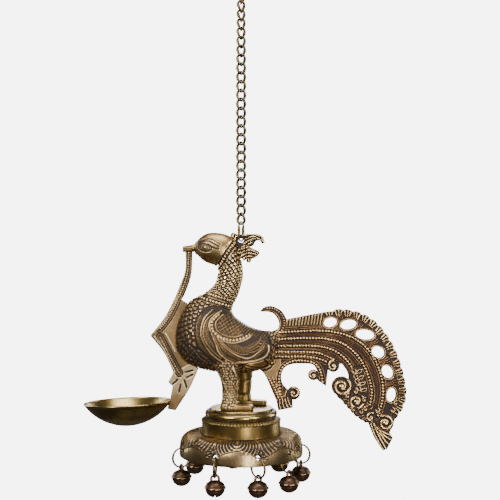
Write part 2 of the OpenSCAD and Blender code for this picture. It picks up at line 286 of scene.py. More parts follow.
def close_corners(keep, wrap):
    """Fills a cell wherever two kept cells meet only at a corner, so the mesh stays manifold."""
    for _ in range(6):
        right = np.roll(keep, -1, axis=1)
        if not wrap:
            right[:, -1] = False
        a, b, c, d = keep[:-1], right[:-1], keep[1:], right[1:]
        one = a & d & ~b & ~c
        two = b & c & ~a & ~d
        if not (one.any() or two.any()):
            break
        keep[1:][one] = True
        keep[:-1][two] = True
    return keep


def shell(front, back, keep, wrap=False):
    """A closed solid between two grids of points of the same shape, over the kept cells."""
    rows, columns = front.shape[:2]
    count = rows * columns
    cells = quads(rows, columns, wrap)[keep]
    faces = np.concatenate([cells, cells[:, ::-1] + count])
    a, b = cells.ravel(), np.roll(cells, -1, axis=1).ravel()
    rim = ~np.isin(a * count + b, b * count + a)
    a, b = a[rim], b[rim]
    faces = np.concatenate([faces, np.stack([b, a, a + count, b + count], 1)])
    used = np.unique(faces)
    renumber = np.full(2 * count, -1)
    renumber[used] = np.arange(len(used))
    points = np.concatenate([front.reshape(-1, 3), back.reshape(-1, 3)])[used]
    return points, renumber[faces], used


def round_shell(front, back, keep):
    """The shell between two grids that wrap round z, with the holes where keep is false."""
    return shell(front[:, ::-1], back[:, ::-1], np.roll(keep[:, ::-1], -1, 1), wrap=True)


def round_worn(wear_and_light, inside, used):
    """The wear_and_light of a round shell's points: the front's own values, and one value on its inside."""
    return np.concatenate([wear_and_light[:, ::-1].reshape(-1), np.full(wear_and_light.size, inside)])[used]


def tube(path, radius, sides=12, closed=False):
    """Round wire along a 3-D path. radius is one number or one for each point."""
    p = np.asarray(path, float)
    n = len(p)
    radius = np.broadcast_to(radius, n)
    ahead = np.roll(p, -1, 0) - np.roll(p, 1, 0) if closed else np.gradient(p, axis=0)
    t = ahead / np.linalg.norm(ahead, axis=1)[:, None]
    u = np.zeros_like(p)
    first = np.cross(t[0], [0.3, 0.2, 1.0])
    u[0] = first / np.linalg.norm(first)
    for i in range(1, n):
        v = u[i - 1] - t[i] * (u[i - 1] @ t[i])
        u[i] = v / np.linalg.norm(v)
    twist = 0.0
    if closed:
        v = u[-1] - t[0] * (u[-1] @ t[0])
        twist = math.atan2(np.cross(v, u[0]) @ t[0], v @ u[0])
    a = full_turn(sides)
    turn = np.arange(n)[:, None] * twist / n + a[None, :]
    w = np.cross(t, u)
    ring = (np.cos(turn)[..., None] * u[:, None] + np.sin(turn)[..., None] * w[:, None])
    points = p[:, None] + radius[:, None, None] * ring
    grid = quads(n, sides, wrap=True).reshape(-1, 4)
    if closed:
        j = np.arange(sides)
        last = (n - 1) * sides
        grid = np.concatenate([grid, np.stack([last + j, last + (j + 1) % sides, (j + 1) % sides, j], 1)])
        return points.reshape(-1, 3), [list(f) for f in grid]
    caps = [list(range(sides))[::-1], list(range((n - 1) * sides, n * sides))]
    return points.reshape(-1, 3), [list(f) for f in grid] + caps


def loft(rings):
    """A surface through rings of points, with a cap at each end."""
    rows, columns = rings.shape[:2]
    faces = [list(f) for f in quads(rows, columns, wrap=True).reshape(-1, 4)]
    faces.append(list(range(columns))[::-1])
    faces.append(list(range((rows - 1) * columns, rows * columns)))
    return rings.reshape(-1, 3), faces


def join(parts):
    """Several (points, faces) pairs as one."""
    points, faces, base = [], [], 0
    for p, f in parts:
        points.append(p)
        faces += [[i + base for i in face] for face in f]
        base += len(p)
    return np.concatenate(points), faces


def normals(grid, wrap=True):
    """Outward unit normals of a grid of points."""
    along = np.gradient(grid, axis=0)
    if wrap:
        around = np.roll(grid, -1, 1) - np.roll(grid, 1, 1)
    else:
        around = np.gradient(grid, axis=1)
    n = np.cross(around, along)
    return n / np.maximum(np.linalg.norm(n, axis=-1, keepdims=True), 1e-9)


# ---------------------------------------------------------------- materials

PATINA_AND_SHADE, BARE, RUBBED_AND_LIT = 0.18, 0.52, 0.92      # wear and painted light at which each of the three colours is reached
BLOTCH = 0.3                                # how much noise shifts the wear


def brass(name, bright, mid, dark, rough=(0.24, 0.6), wear_and_light=None):
    """Antique brass: black-brown patina in the recesses, warm metal between, rubbed bright on the relief.

    The mesh's own wear_and_light value drives it, or one such value for a whole plain piece; on some pieces
    that value also holds painted highlights and painted shade.
    """
    material = bpy.data.materials.new(name)
    material.use_nodes = True
    nodes, links = material.node_tree.nodes, material.node_tree.links
    shader = nodes["Principled BSDF"]
    where = nodes.new("ShaderNodeTexCoord")

    def noise(scale, detail=4.0):
        node = nodes.new("ShaderNodeTexNoise")
        node.inputs["Scale"].default_value = scale
        node.inputs["Detail"].default_value = detail
        links.new(where.outputs["Object"], node.inputs["Vector"])
        return node.outputs["Fac"]

    def math_node(kind, a, b):
        node = nodes.new("ShaderNodeMath")
        node.operation = kind
        for socket, value in zip(node.inputs, (a, b)):
            if isinstance(value, (int, float)):
                socket.default_value = value
            else:
                links.new(value, socket)
        return node.outputs[0]

    def ramp(value, socket, *stops):
        node = nodes.new("ShaderNodeValToRGB")
        for element, (at, colour) in zip(node.color_ramp.elements, (stops[0], stops[-1])):
            element.position = at
            element.color = (*colour, 1)
        for at, colour in stops[1:-1]:
            node.color_ramp.elements.new(at).color = (*colour, 1)
        links.new(value, node.inputs["Fac"])
        links.new(node.outputs["Color"], shader.inputs[socket])

    base = wear_and_light
    if wear_and_light is None:
        layer = nodes.new("ShaderNodeAttribute")
        layer.attribute_name = "wear_and_light"
        base = layer.outputs["Fac"]
    mottled = math_node("MULTIPLY", math_node("SUBTRACT", noise(45), 0.5), BLOTCH)
    speckled = math_node("MULTIPLY", math_node("SUBTRACT", noise(420, 6.0), 0.5), 0.6 * BLOTCH)
    level = math_node("ADD", math_node("ADD", base, mottled), speckled)
    ramp(level, "Base Color", (PATINA_AND_SHADE, dark), (BARE, mid), (RUBBED_AND_LIT, bright))
    ramp(level, "Roughness", (PATINA_AND_SHADE, (rough[1],) * 3), (RUBBED_AND_LIT, (rough[0],) * 3))
    ramp(level, "Metallic", (PATINA_AND_SHADE - 0.1, (0.35,) * 3), (BARE, (1.0,) * 3))
    dents = nodes.new("ShaderNodeBump")
    dents.inputs["Strength"].default_value = 0.22
    dents.inputs["Distance"].default_value = 0.0004
    pitted = math_node("MULTIPLY", noise(160), 1.5)
    links.new(math_node("ADD", noise(900, 3.0), pitted), dents.inputs["Height"])
    links.new(dents.outputs["Normal"], shader.inputs["Normal"])
    return material


CAST = brass("cast_brass", (0.68, 0.49, 0.25), (0.15, 0.088, 0.035), (0.014, 0.008, 0.005))
HEAD = brass("head_brass", (0.60, 0.43, 0.21), (0.30, 0.19, 0.075), (0.02, 0.011, 0.006), (0.26, 0.5))
STEM = brass("stem_brass", (0.84, 0.64, 0.37), (0.30, 0.195, 0.085), (0.016, 0.009, 0.005), (0.38, 0.5))
TAIL = brass("tail_brass", (0.62, 0.41, 0.18), (0.088, 0.036, 0.014), (0.012, 0.006, 0.004))
TURNED = brass("turned_brass", (0.56, 0.41, 0.16), (0.20, 0.13, 0.04), (0.02, 0.012, 0.005), (0.18, 0.45))
SKIRT = brass("skirt_brass", (0.64, 0.46, 0.24), (0.115, 0.068, 0.028), (0.014, 0.008, 0.005), (0.22, 0.55))
WIRE = brass("chain_brass", (0.34, 0.26, 0.12), (0.085, 0.06, 0.024), (0.016, 0.01, 0.005), (0.25, 0.45),
             wear_and_light=0.58)
BELL = brass("bell_brass", (0.30, 0.17, 0.085), (0.085, 0.043, 0.022), (0.012, 0.007, 0.004), (0.24, 0.5))
IRON = brass("pellet_iron", (0.20, 0.18, 0.17), (0.10, 0.085, 0.075), (0.04, 0.03, 0.03), (0.5, 0.7),
             wear_and_light=0.5)

# ---------------------------------------------------------------- bird: body and neck

SECTIONS = np.array([
    [31, 88, 33, 95, 4], [24, 76, 29, 103.5, 11], [8, 69.8, 17, 105.4, 17.5],
    [-11, 69.4, 5, 110, 20.5], [-30, 71.6, -4.5, 116.5, 22.5], [-45.5, 77, -7.8, 121, 22.5],
    [-54.3, 87, -7.6, 124, 21.5], [-56, 101, -6.6, 127, 19.5], [-52, 117, -4.6, 131, 16.5],
    [-43.5, 130, -2, 137, 13.5], [-31.5, 136.5, 0, 144, 11.5], [-22.8, 144, 1.5, 151, 10.3],
    [-20, 152, 1.2, 158.5, 10], [-19.4, 158.5, -0.6, 168, 10.3], [-18.6, 160.2, -5.6, 181.5, 11.2],
    [-23.5, 161, -14, 187, 12], [-31, 163.8, -27, 188, 10.8], [-37.3, 169.3, -35, 184, 7.6],
    [-39.6, 172.2, -39.4, 178.6, 4.2], [-43.5, 171.8, -43.5, 177.6, 3.2], [-49.8, 171.8, -49.6, 176.6, 2.4]])


def body_surface(first, last, rows, columns):
    """The bird's smooth skin between two sections, as a grid of points and its normals."""
    fine = 40
    line = spline(SECTIONS, fine)
    at = run(line[:, :2] + line[:, 2:4])
    want = np.linspace(at[first * fine], at[last * fine], rows)
    s = points_at(line, at, want)
    a = full_turn(columns)
    low, high = s[:, :2], s[:, 2:4]
    mid, arm = (low + high) / 2, (high - low) / 2
    xz = mid[:, None] + arm[:, None] * np.cos(a)[None, :, None]
    y = s[:, 4:5] * np.sin(a)[None, :]
    grid = np.stack([xz[..., 0], y, xz[..., 1]], -1)
    return grid, normals(grid)


def stamp(grid, height, i, j, across, along, shape, window=(12, 12)):
    """Presses one shape, a function of (across, along) in mm, into the height of a wrapped grid."""
    rows, columns = height.shape
    ii = np.arange(max(i - window[0], 0), min(i + window[0] + 1, rows))
    jj = np.arange(j - window[1], j + window[1] + 1) % columns
    rel = grid[np.ix_(ii, jj)] - grid[i, j]
    inside, value = shape(rel @ across, rel @ along)
    old = height[np.ix_(ii, jj)]
    height[np.ix_(ii, jj)] = np.where(inside, value, old)


def scale_shape(half, length, fingers=0, high=1.0):
    """A rounded scale with a dark gap round its tip. fingers cuts it into raised strokes."""
    def shape(u, v):
        d = np.hypot(u / half, v / np.where(v > 0, length, 0.8 * length))
        body = smooth(0.96 - d, 0.0, 0.34) * (0.8 + 0.2 * v / length)
        if fingers:
            body = body * (0.25 + 0.75 * np.abs(np.cos(np.pi * fingers * 0.5 * u / half)) ** 1.2)
        return (d < 1.12) & (v > -0.6 * length), high * body
    return shape


def feather(grid, height, pick, pitch, size, shape, jitter=0.0, window=(12, 12)):
    """Staggered scales over the part of a wrapped grid where pick(point) holds, tips to the tail."""
    at = run(grid[:, grid.shape[1] // 4])
    columns = grid.shape[1]
    for n, level in enumerate(np.arange(pitch, at[-1], pitch)):
        i = int(np.searchsorted(at, level))
        ring = np.roll(grid[i], -1, 0) - grid[i]
        around = np.concatenate([[0], np.cumsum(np.linalg.norm(ring, axis=1))])
        number = max(int(round(around[-1] / size / 2)) * 2, 4)
        for k in range(number):
            at_k = (k + 0.5 * (n % 2)) / number * around[-1]
            j = int(np.searchsorted(around, at_k)) % columns
            if jitter:
                j = (j + int(round(RANDOM.uniform(-jitter, jitter)))) % columns
            if not pick(grid[i, j]):
                continue
            ahead = grid[min(i + 1, len(grid) - 1), j] - grid[max(i - 1, 0), j]
            along = -ahead / max(np.linalg.norm(ahead), 1e-9)
            side = grid[i, (j + 1) % columns] - grid[i, j - 1]
            side = side - along * (side @ along)
            side /= max(np.linalg.norm(side), 1e-9)
            stamp(grid, height, i, j, side, along, shape, window)


def band(grid, height, at, tilt, number=0, r=1.2, high=1.0):
    """A raised ring, or a ring of beads, where a plane cuts the grid. tilt is its rise in degrees."""
    c, s = math.cos(math.radians(tilt)), math.sin(math.radians(tilt))
    x, y, z = grid[..., 0] - at[0], grid[..., 1], grid[..., 2] - at[1]
    d = c * z - s * x
    across = 0.0
    if number:
        along = c * x + s * z
        turn = number * np.arctan2(y, along) / (2 * np.pi)
        across = np.abs(turn % 1 - 0.5) * 2 * np.pi * np.hypot(y, along) / number
    np.maximum(height, high * dome(np.hypot(d, across), r), out=height)


COLLAR_AT = (-14.4, 171.2)
COLLAR_TILT = 56
COLLAR_LOW = 154        # the seam ends at this height, under the throat


def collar(grid, height):
    """The seam of the hood: a rail, then a row of beads between two thin rails."""
    rings = np.zeros_like(height)
    band(grid, rings, COLLAR_AT, COLLAR_TILT, r=0.95, high=1.5)
    band(grid, rings, (-12.0, 169.0), COLLAR_TILT, number=24, r=1.3, high=1.35)
    band(grid, rings, (-9.7, 166.7), COLLAR_TILT, r=0.6, high=0.8)
    np.maximum(height, rings * (grid[..., 2] > COLLAR_LOW), out=height)


def ahead_of_collar(grid):
    """How far, in mm, a point lies on the beak's side of the hood's seam."""
    return (grid[..., 0] - COLLAR_AT[0]) * -0.829 + (grid[..., 2] - COLLAR_AT[1]) * 0.560


NECKLACES = (((-30, 138), (-8, 130.8)), ((-34, 134), (-8, 126)))
EYE = (-29.9, 175.4)
WING_FRONT = [(-32.9, 119.2), (-36, 111.7), (-36.3, 100.4), (-32.9, 92.3), (-25.4, 84.9), (-16.7, 79.2),
              (-8.6, 76.1), (-3, 76.8)]


WING_LINES = {
    "outer": WING_FRONT,
    "second": [(-22.9, 123.5), (-29.2, 116.7), (-31.8, 106.7), (-30.4, 98.6), (-24.8, 89.2), (-16.7, 82),
               (-7.3, 78)],
    "third": [(-20.4, 121), (-27.3, 115.4), (-29.8, 106.7), (-28.5, 99.2), (-22.9, 90.5), (-15.4, 83.9)],
    "rail": [(-15.5, 122.6), (-21.7, 118.5), (-24.8, 112.9), (-24.2, 106.7), (-20.4, 101.7), (-14.2, 98.6),
             (-6.7, 96.4), (0.8, 97.3), (8.2, 100.4), (13.9, 104.8)],
    "beads": [(-16.7, 120.7), (-21.4, 116), (-23.1, 111.7), (-21.4, 105.7), (-16.7, 101.7), (-10.5, 99.2),
              (-4.2, 98.5), (2, 99.7), (8.2, 102.4), (14, 105.4)],
    "inner": [(-14, 119.5), (-18.4, 115.6), (-20, 111.6), (-18.6, 107), (-14.6, 103.8), (-9.4, 101.8),
              (-3.6, 101.2), (2.4, 102.6)],
    "middle": [(-22.9, 104.2), (-19.8, 96.7), (-17.3, 89.2), (-11.7, 83.6), (-4.2, 79.9)],
    "middle quill": [(-20.6, 101.6), (-17.6, 95), (-14.9, 89), (-10.2, 84.6), (-3, 81.6)],
    "lower": [(-17.9, 100.4), (-13, 94.2), (-6.1, 88.6), (0.8, 84.9), (8.2, 83.9), (15.7, 88.6),
              (20.1, 93.6)],
    "lower quill": [(-15.4, 98.3), (-9.2, 92.3), (-2.3, 88.3), (3.9, 86.7), (10.1, 88.6), (16.4, 91.7)],
    "rim": [(-4, 78.6), (-1.7, 80.2), (7, 80.5), (14.5, 81.7), (20.7, 84.2), (23.8, 88.6), (23.8, 93.6)],
    "first tip": [(8, 88.2), (13, 89.4), (18, 92.6), (20.5, 97)],
    "second tip": [(6, 91.5), (11, 93), (15.5, 96.5), (18, 100.5)]}
WING_BARBS = (("third", 0.8, 4.6, 1, 1.8, 0.9, 0.9), ("middle quill", 0.7, 4.4, 1, 1.7, 0.9, 0.9),
              ("lower quill", 0.7, 6.4, 1, 1.8, 0.95, 0.8), ("lower", 0.7, 3.2, -1, 1.7, 0.85, -0.7),
              ("outer", 0.8, 3.0, 1, 1.7, 0.8, 0.5))
WING_RIDGES = (("second", 0.9, 1.0), ("third", 0.75, 0.95), ("rail", 0.9, 1.0), ("inner", 0.75, 0.95),
               ("middle", 0.95, 1.05), ("middle quill", 0.65, 0.85), ("lower", 0.95, 1.05),
               ("lower quill", 0.7, 0.9), ("rim", 1.2, 1.15), ("first tip", 0.7, 0.85),
               ("second tip", 0.7, 0.85))


def shoulder(w, inner):
    """Crossed lines and four short rows of beads in the wing's shoulder."""
    x, z = w.p[:, 0], w.p[:, 1]
    hatch = 0.9 * np.maximum(np.cos((x + 0.55 * z) * 2.2), np.cos((z - 0.6 * x) * 2.0)) ** 3
    d, _, side = near_path(w.p, inner)
    within = (side > 0) & (d > 0.8) & (x > -19) & (x < 0.5) & (z > 100.5) & (z < 119)
    w.h = np.where(within, np.maximum(w.h, np.clip(hatch, 0, 1)), w.h)
    for k in range(4):
        shift = 3.1 * k
        row = [(-9.2 + 1.2 * k, 102.9 + shift), (-3 + 0.8 * k, 103.6 + shift * 0.95),
               (2, 105.4 + shift * 0.8), (5.7, 107.3 + shift * 0.6)]
        w.beads(spline(row, 7), r=1.0, pitch=2.1, height=0.8)


def wing_relief(points):
    """The folded wing in side view: bands, beads and barbed feathers."""
    w = Relief(points)
    lines = {name: spline(line, 7) for name, line in WING_LINES.items()}
    w.h = 0.5 * np.abs(np.cos((points[:, 0] * 0.8 + points[:, 1]) * 1.5)) ** 1.5
    for name, *band_and_strokes in WING_BARBS:
        w.barbs(lines[name], *band_and_strokes)
    shoulder(w, lines["inner"])
    w.ridge(lines["outer"], 1.15, 1.05, moat=0.55)
    w.ridge(lines["outer"] + [-1.9, -0.7], 0.6, 0.7, moat=0.55)
    for name, r, high in WING_RIDGES:
        w.ridge(lines[name], r, high, moat=0.55)
    w.beads(lines["beads"], r=1.4, pitch=2.7, height=1.2)
    return w.h


def tongue(r):
    """The smooth root of the tail under the wing, with the two lines round its end."""
    x, z = r.p[:, 0], r.p[:, 1]
    r.h = np.where((x > 2 + 0.4 * (81 - z)) & (z < 81.6) & (x < 34) & (z > 64), 0.95, r.h)
    for line in ([(2, 82), (12, 82.2), (20, 81.6), (22.6, 78.4), (21.4, 75.6), (16, 74.4), (4, 77.4)],
                 [(25.6, 82.8), (27.4, 78.6), (25.2, 74), (19.4, 71.8), (10, 73), (4, 75)]):
        r.groove(spline(line, 7), 0.9, 1.0)


WING_EDGE = np.concatenate([
    spline(WING_FRONT + [(7, 79.6), (15, 80.6), (21.6, 83.4), (25.2, 88.6), (25, 94)], 6),
    [(24, 101), (16, 105.5), (8, 109), (0, 113.5), (-6, 119), (-14, 124.4), (-24, 125.6), (-30, 123)]])


def bird_scales(grid, height):
    """Small curls on the belly, lobed scales on the breast and plain ones on the neck."""
    def neck(p):
        return p[2] > 138.5 - 0.327 * (p[0] + 30)

    def breast(p):
        return not neck(p) and p[2] > 104 - 0.6 * (p[0] + 56)

    def belly(p):
        return not neck(p) and not breast(p)

    small = scale_shape(1.5, 1.9, fingers=2, high=1.45)
    lobed = scale_shape(2.5, 3.1, fingers=4, high=1.25)
    plain = scale_shape(1.8, 2.3, high=1.25)
    feather(grid, height, belly, 2.2, 2.9, small, jitter=1.6, window=(10, 9))
    feather(grid, height, breast, 3.4, 4.8, lobed, jitter=0.6, window=(12, 11))
    feather(grid, height, neck, 2.8, 3.7, plain, window=(14, 12))


def necklaces(grid, height):
    """Two rows of beads between thin lines."""
    for (x0, z0), (x1, z1) in NECKLACES:
        tilt = math.degrees(math.atan2(z1 - z0, x1 - x0))
        mid = ((x0 + x1) / 2, (z0 + z1) / 2)
        d = (grid[..., 2] - mid[1]) - (grid[..., 0] - mid[0]) * math.tan(math.radians(tilt))
        height[np.abs(d) < 2.4] = 0.0
        for off in (-2.2, 2.2):
            band(grid, height, (mid[0], mid[1] + off), tilt, r=0.6, high=0.8)
        band(grid, height, mid, tilt, number=32, r=1.35, high=1.25)


def bird_body():
    rows = 420
    grid, n = body_surface(0, 14, rows, 224)
    side = grid.reshape(-1, 3)[:, [0, 2]]
    wing = -polygon_distance(side, WING_EDGE).reshape(grid.shape[:2])
    height = np.zeros(grid.shape[:2])
    bird_scales(grid, height)
    necklaces(grid, height)
    height[(ahead_of_collar(grid) > -5.6) & (grid[..., 2] > COLLAR_LOW)] = 0.0
    collar(grid, height)
    # the wing stands proud of the body, with a shallow groove round it that is darkened as a painted shadow
    # line
    inside = smooth(wing, -0.3, 0.5)
    facing = smooth(np.abs(n[..., 1]), 0.12, 0.4)
    back = smooth(n[..., 2], 0.55, 0.8)
    strokes = np.where(facing > 0.25, wing_relief(side).reshape(height.shape), 0.45)
    hatch = 0.45 + 0.45 * np.cos((grid[..., 0] - grid[..., 2]) * 2.1) * facing
    height = height * (1 - 0.9 * bump(wing + 0.9, 0.7) * facing)
    height = height * (1 - inside) + inside * (strokes * (1 - back) + back * hatch)
    root = Relief(side, height.reshape(-1))
    tongue(root)
    under = smooth(-wing, 0.4, 1.2) * smooth(grid[..., 0], 3, 5) * facing * (grid[..., 2] < 84)
    height = height * (1 - under) + under * root.h.reshape(height.shape)
    lift = 0.9 * smooth(wing, -0.4, 0.9) * facing
    ends = np.minimum(np.arange(rows), np.arange(rows)[::-1])[:, None] / 4.0
    height = height * np.clip(ends, 0, 1)
    p, f = loft(grid + n * (height + lift - 0.85)[..., None])
    wear_and_light = 0.02 + np.clip(height, 0, 1.2) ** 1.3 * (0.82 - 0.12 * inside)
    make("bird_body", p, f, "lamp", ["peacock_body"], CAST, wear_and_light)


def face(h):
    """The eye's rings and pupil, the brow and the lines at the corner of the eye."""
    for half, r in (((5.9, 3.4), 0.7), ((4.4, 2.4), 0.6), ((2.5, 1.4), 0.6)):
        h.groove(ring_line(EYE, half, -10), r, 0.6)
    for line in ([(-26.7, 178.1), (-22.5, 175.4), (-17.7, 174.2)],
                 [(-25.8, 180.8), (-21.2, 178.1), (-17.4, 176.3)],
                 [(-35.5, 180.4), (-28.4, 183.0), (-24, 182.6), (-20.1, 180.4), (-16.5, 178.2)],
                 [(-36, 178.6), (-31, 180.9), (-27.4, 181.1), (-23.6, 179.7)]):
        h.groove(spline(line, 8), 0.75, 0.65)
    d = np.hypot(h.p[:, 0] - EYE[0], h.p[:, 1] - EYE[1])
    h.h = np.where(d < 1.5, np.maximum(h.h, 0.95 * dome(d, 1.5)), h.h)


def bird_head():
    rows, columns = 190, 160
    grid, n = body_surface(13, 20, rows, columns)
    plain = np.full(rows * columns, 0.62)
    h = Relief(grid.reshape(-1, 3)[:, [0, 2]], plain)
    face(h)
    facing = np.abs(n[..., 1]).reshape(-1) > 0.3
    carved = np.where(facing, h.h, plain).reshape(rows, columns)
    carved[ahead_of_collar(grid) < -0.6] = 0.1
    collar(grid, carved)
    # rings round the root of the beak, then the line between its two halves
    x, z = grid[..., 0], grid[..., 2]
    for at, r in ((-38.4, 1.0), (-40.6, 0.9)):
        carved = np.maximum(carved, 1.25 * dome(x - at, r))
    carved -= 0.4 * bump(z - 174.4, 0.35) * (x < -42)
    carved = carved * np.clip(np.arange(rows) / 10.0, 0, 1)[:, None]
    # the first rows dive into the neck
    buried = 14
    lift = np.full((rows, 1), -0.55)
    lift[:buried, 0] = np.linspace(-1.4, -0.55, buried)
    p, f = loft(grid + n * (carved + lift)[..., None])
    # painted highlight: the lower cheek is made lighter
    lit_cheek = smooth(x, -34, -20) * (1 - smooth(z, 176, 183))
    wear_and_light = 0.06 + 0.68 * np.clip(carved, 0, 1.2) + 0.24 * lit_cheek * (carved > 0.5) - 0.12 * smooth(-x, 30, 38)
    make("bird_head", p, f, "lamp", ["peacock_body"], HEAD, wear_and_light)


def feathered_leg(grid, n):
    """Height and wear of the leg that shows: small scales with a raised line down both edges."""
    height = np.zeros(grid.shape[:2])
    z = grid[..., 2]
    feather(grid, height, lambda p: p[2] > 43, 2.2, 2.8, scale_shape(1.4, 1.8, high=0.95), jitter=2.0,
            window=(10, 12))
    height *= 0.7 + 0.3 * smooth(z, 56, 66)
    r = Relief(grid.reshape(-1, 3)[:, [0, 2]])
    front = spline([(-22.3, 82.2), (-20, 74.8), (-14.6, 65.4), (-11.2, 57.7)], 8)
    rear = spline([(-5.5, 76.1), (-1.8, 67.3), (-1.9, 61.5), (-2.2, 56.4)], 8)
    for line in (front, rear):
        r.ridge(line, 0.85, 1.0)
    outside = (grid[..., 0] < np.interp(z, front[::-1, 1], front[::-1, 0])) & (z > 57)
    height = np.where(outside, 0.25, height)
    height = np.maximum(height, r.h.reshape(height.shape) * (np.abs(n[..., 1]) > 0.15))
    return height, 0.12 + 0.74 * np.clip(height, 0, 1) + 0.3 * (1 - smooth(z, 50, 66))


def smooth_leg(grid):
    """Height and wear of the far leg: smooth, with two rings."""
    height = np.full(grid.shape[:2], 0.35)
    for z in (49.5, 61.0):
        height -= 0.55 * bump(grid[..., 2] - z - 0.12 * (grid[..., 0] - 1), 0.9)
    return height, 0.52 + 0.4 * (height - 0.35)


def leg_surface(y, shift):
    # [height, x, y share, half width, half depth]
    s = spline([(88, -13, 0.74, 13, 8), (80, -11.6, 0.82, 11.2, 8.2), (72, -9.9, 0.9, 9.2, 7.8),
                (64, -8.6, 0.98, 7.5, 7), (57, -8.4, 1, 6.6, 6.4), (50, -8.6, 1, 6.3, 6.3),
                (45.5, -8.9, 1, 6.9, 6.6), (40.6, -9, 1, 7.6, 7)], 22)[::-1]
    columns = 112
    a = full_turn(columns)
    return np.stack([s[:, 1:2] + shift + s[:, 3:4] * np.cos(a), y * s[:, 2:3] + s[:, 4:5] * np.sin(a),
                     np.repeat(s[:, :1], columns, 1)], -1)


def bird_legs():
    for name, y, shift, leg, foot in (("left", -14, 0, CAST, HEAD), ("right", 14, 10, TURNED, TURNED)):
        grid = leg_surface(y, shift)
        n = normals(grid)
        height, wear_and_light = smooth_leg(grid) if shift else feathered_leg(grid, n)
        p, f = loft(grid + n * (height - 0.35)[..., None])
        make("leg_" + name, p, f, "lamp", ["peacock_body"], leg, wear_and_light)
        bird_foot("foot_" + name, y, shift, foot)


FOOT_FRONT, FOOT_BACK = -16.5, 11.5
FOOT_SEAT = 39.7        # a little under the top of the plate, so the foot sits in it


def bird_foot(name, y, shift, material):
    """A flat foot with a long square toe toward the tail, as one soft-edged pad."""
    t = np.linspace(FOOT_FRONT, FOOT_BACK, 60)
    half = 5.4 + 1.3 * bump(t + 9, 6)
    middle_t, reach = (FOOT_FRONT + FOOT_BACK) / 2, (FOOT_BACK - FOOT_FRONT) / 2
    corner = 3.6
    beyond = np.clip((np.abs(t - middle_t) - reach + corner) / corner, 0, 1)
    end = np.sqrt(np.clip(1 - beyond ** 3, 0.02, 1))[:, None]
    tall = (4.9 - 0.5 * smooth(t, -4, 8))[:, None]
    a = full_turn(64)
    square = lambda v: np.sign(v) * np.abs(v) ** 0.45
    x = np.repeat((t + shift)[:, None], len(a), 1)
    z = FOOT_SEAT + tall / 2 + (tall / 2) * (0.35 + 0.65 * end) * square(np.sin(a))
    rings = np.stack([x, y * 0.93 - half[:, None] * end * square(np.cos(a)), z], -1)
    p, f = loft(rings)
    wear_and_light = 0.42 + 0.3 * smooth(rings[..., 2], 42, 44.6)
    make(name, p, f, "lamp", ["peacock_body"], material, wear_and_light)


# ---------------------------------------------------------------- flat castings

def plate(name, distance, low, high, step, half, carve, nodes, material, edge=1.2, floor=0.6):
    """A casting that stands on its edge: both faces carry the same relief and the edges are rounded.

    distance(points) is the signed distance to its outline, half its half thickness and carve its relief.
    """
    x = np.arange(low[0], high[0] + step, step)
    z = np.arange(low[1], high[1] + step, step)
    shape = (len(z), len(x))
    p = np.stack(np.meshgrid(x, z), -1).reshape(-1, 2)
    d = distance(p).reshape(shape)
    middle_d = (d[:-1, :-1] + d[1:, :-1] + d[:-1, 1:] + d[1:, 1:]) / 4
    keep = close_corners(middle_d < 0, False)
    count = np.zeros(shape, int)
    for di in (0, 1):
        for dj in (0, 1):
            count[di:shape[0] - 1 + di, dj:shape[1] - 1 + dj] += keep
    border = (count > 0) & (count < 4)
    gz, gx = np.gradient(d, step)
    size = np.maximum(np.hypot(gx, gz), 0.5)
    move = np.where(border, np.clip(d, -step, step) / size ** 2, 0)
    xz = p.reshape(*shape, 2).copy()
    xz[..., 0] -= move * gx
    xz[..., 1] -= move * gz
    within = np.where(border, 0.0, np.maximum(-d, 0))
    relief = Relief(xz.reshape(-1, 2))
    carve(relief)
    height = relief.h.reshape(shape)
    round_off = np.sqrt(np.clip(1 - (1 - np.clip(within / edge, 0, 1)) ** 2, 0, 1))
    half_t = half(xz[..., 0], xz[..., 1]) if callable(half) else half
    y = (half_t - floor) * (0.45 + 0.55 * round_off) + height * np.clip(within / 0.8, 0.15, 1)
    front = np.stack([xz[..., 0], -y, xz[..., 1]], -1)
    back = front * [1, -1, 1]
    points, faces, used = shell(front, back, keep)
    wear_and_light = 0.03 + 0.8 * np.clip(height, 0, 1.1) ** 1.9
    wear_and_light = np.where(within < 0.5, np.maximum(wear_and_light, 0.3), wear_and_light)
    wear_and_light = np.concatenate([wear_and_light.reshape(-1)] * 2)[used]
    make(name, points, faces, "lamp", nodes, material, wear_and_light)


CROOK = np.concatenate([
    spline([(9, 100), (26, 104.6), (31.2, 107), (32, 113), (27.5, 119.6), (21, 121.2), (16.6, 121)], 5),
    spline([(16.4, 122), (19.5, 124.8), (26, 126), (34.2, 122), (39, 114.6)], 5)])
OUTER_EDGE = spline([(41, 115.4), (68, 120.6), (78, 121.8), (86, 122.2), (97, 120.4), (107.5, 116),
                     (116, 109), (123, 100), (128.6, 90), (133.2, 78), (136.6, 65), (138, 52),
                     (135.4, 41.5), (131, 34.5)], 6)
END_TUFT = [(128.4, 27.5), (125.4, 20), (128, 15.5), (123, 5.6), (119.4, 4.8), (112.6, 15), (107, 28.4)]
INNER_EDGE = np.concatenate([
    [(103, 30), (96, 35), (88, 44), (81, 50)],
    spline([(84, 56), (90.4, 64), (89.6, 71), (85, 77.6)], 5),
    [(74, 74), (72, 58.4), (66, 62.5), (62, 66)],
    spline([(64.2, 72), (60.8, 76.6), (52, 77.4), (43, 76.8), (37, 73.6), (34.2, 67), (35.4, 60),
            (40, 55)], 5),
    [(43.6, 48), (44, 40), (31.6, 37.6), (30, 46), (26, 55)],
    spline([(22.4, 63.6), (17.6, 70.8), (8, 75), (-3, 77)], 5),
    [(-3, 83), (9, 84)]])
LOWER_EDGE = np.array([(107, 28.4), (103, 30), (96, 35), (88, 44)])
LOBE_START, LOBE = 38.0, 8.0
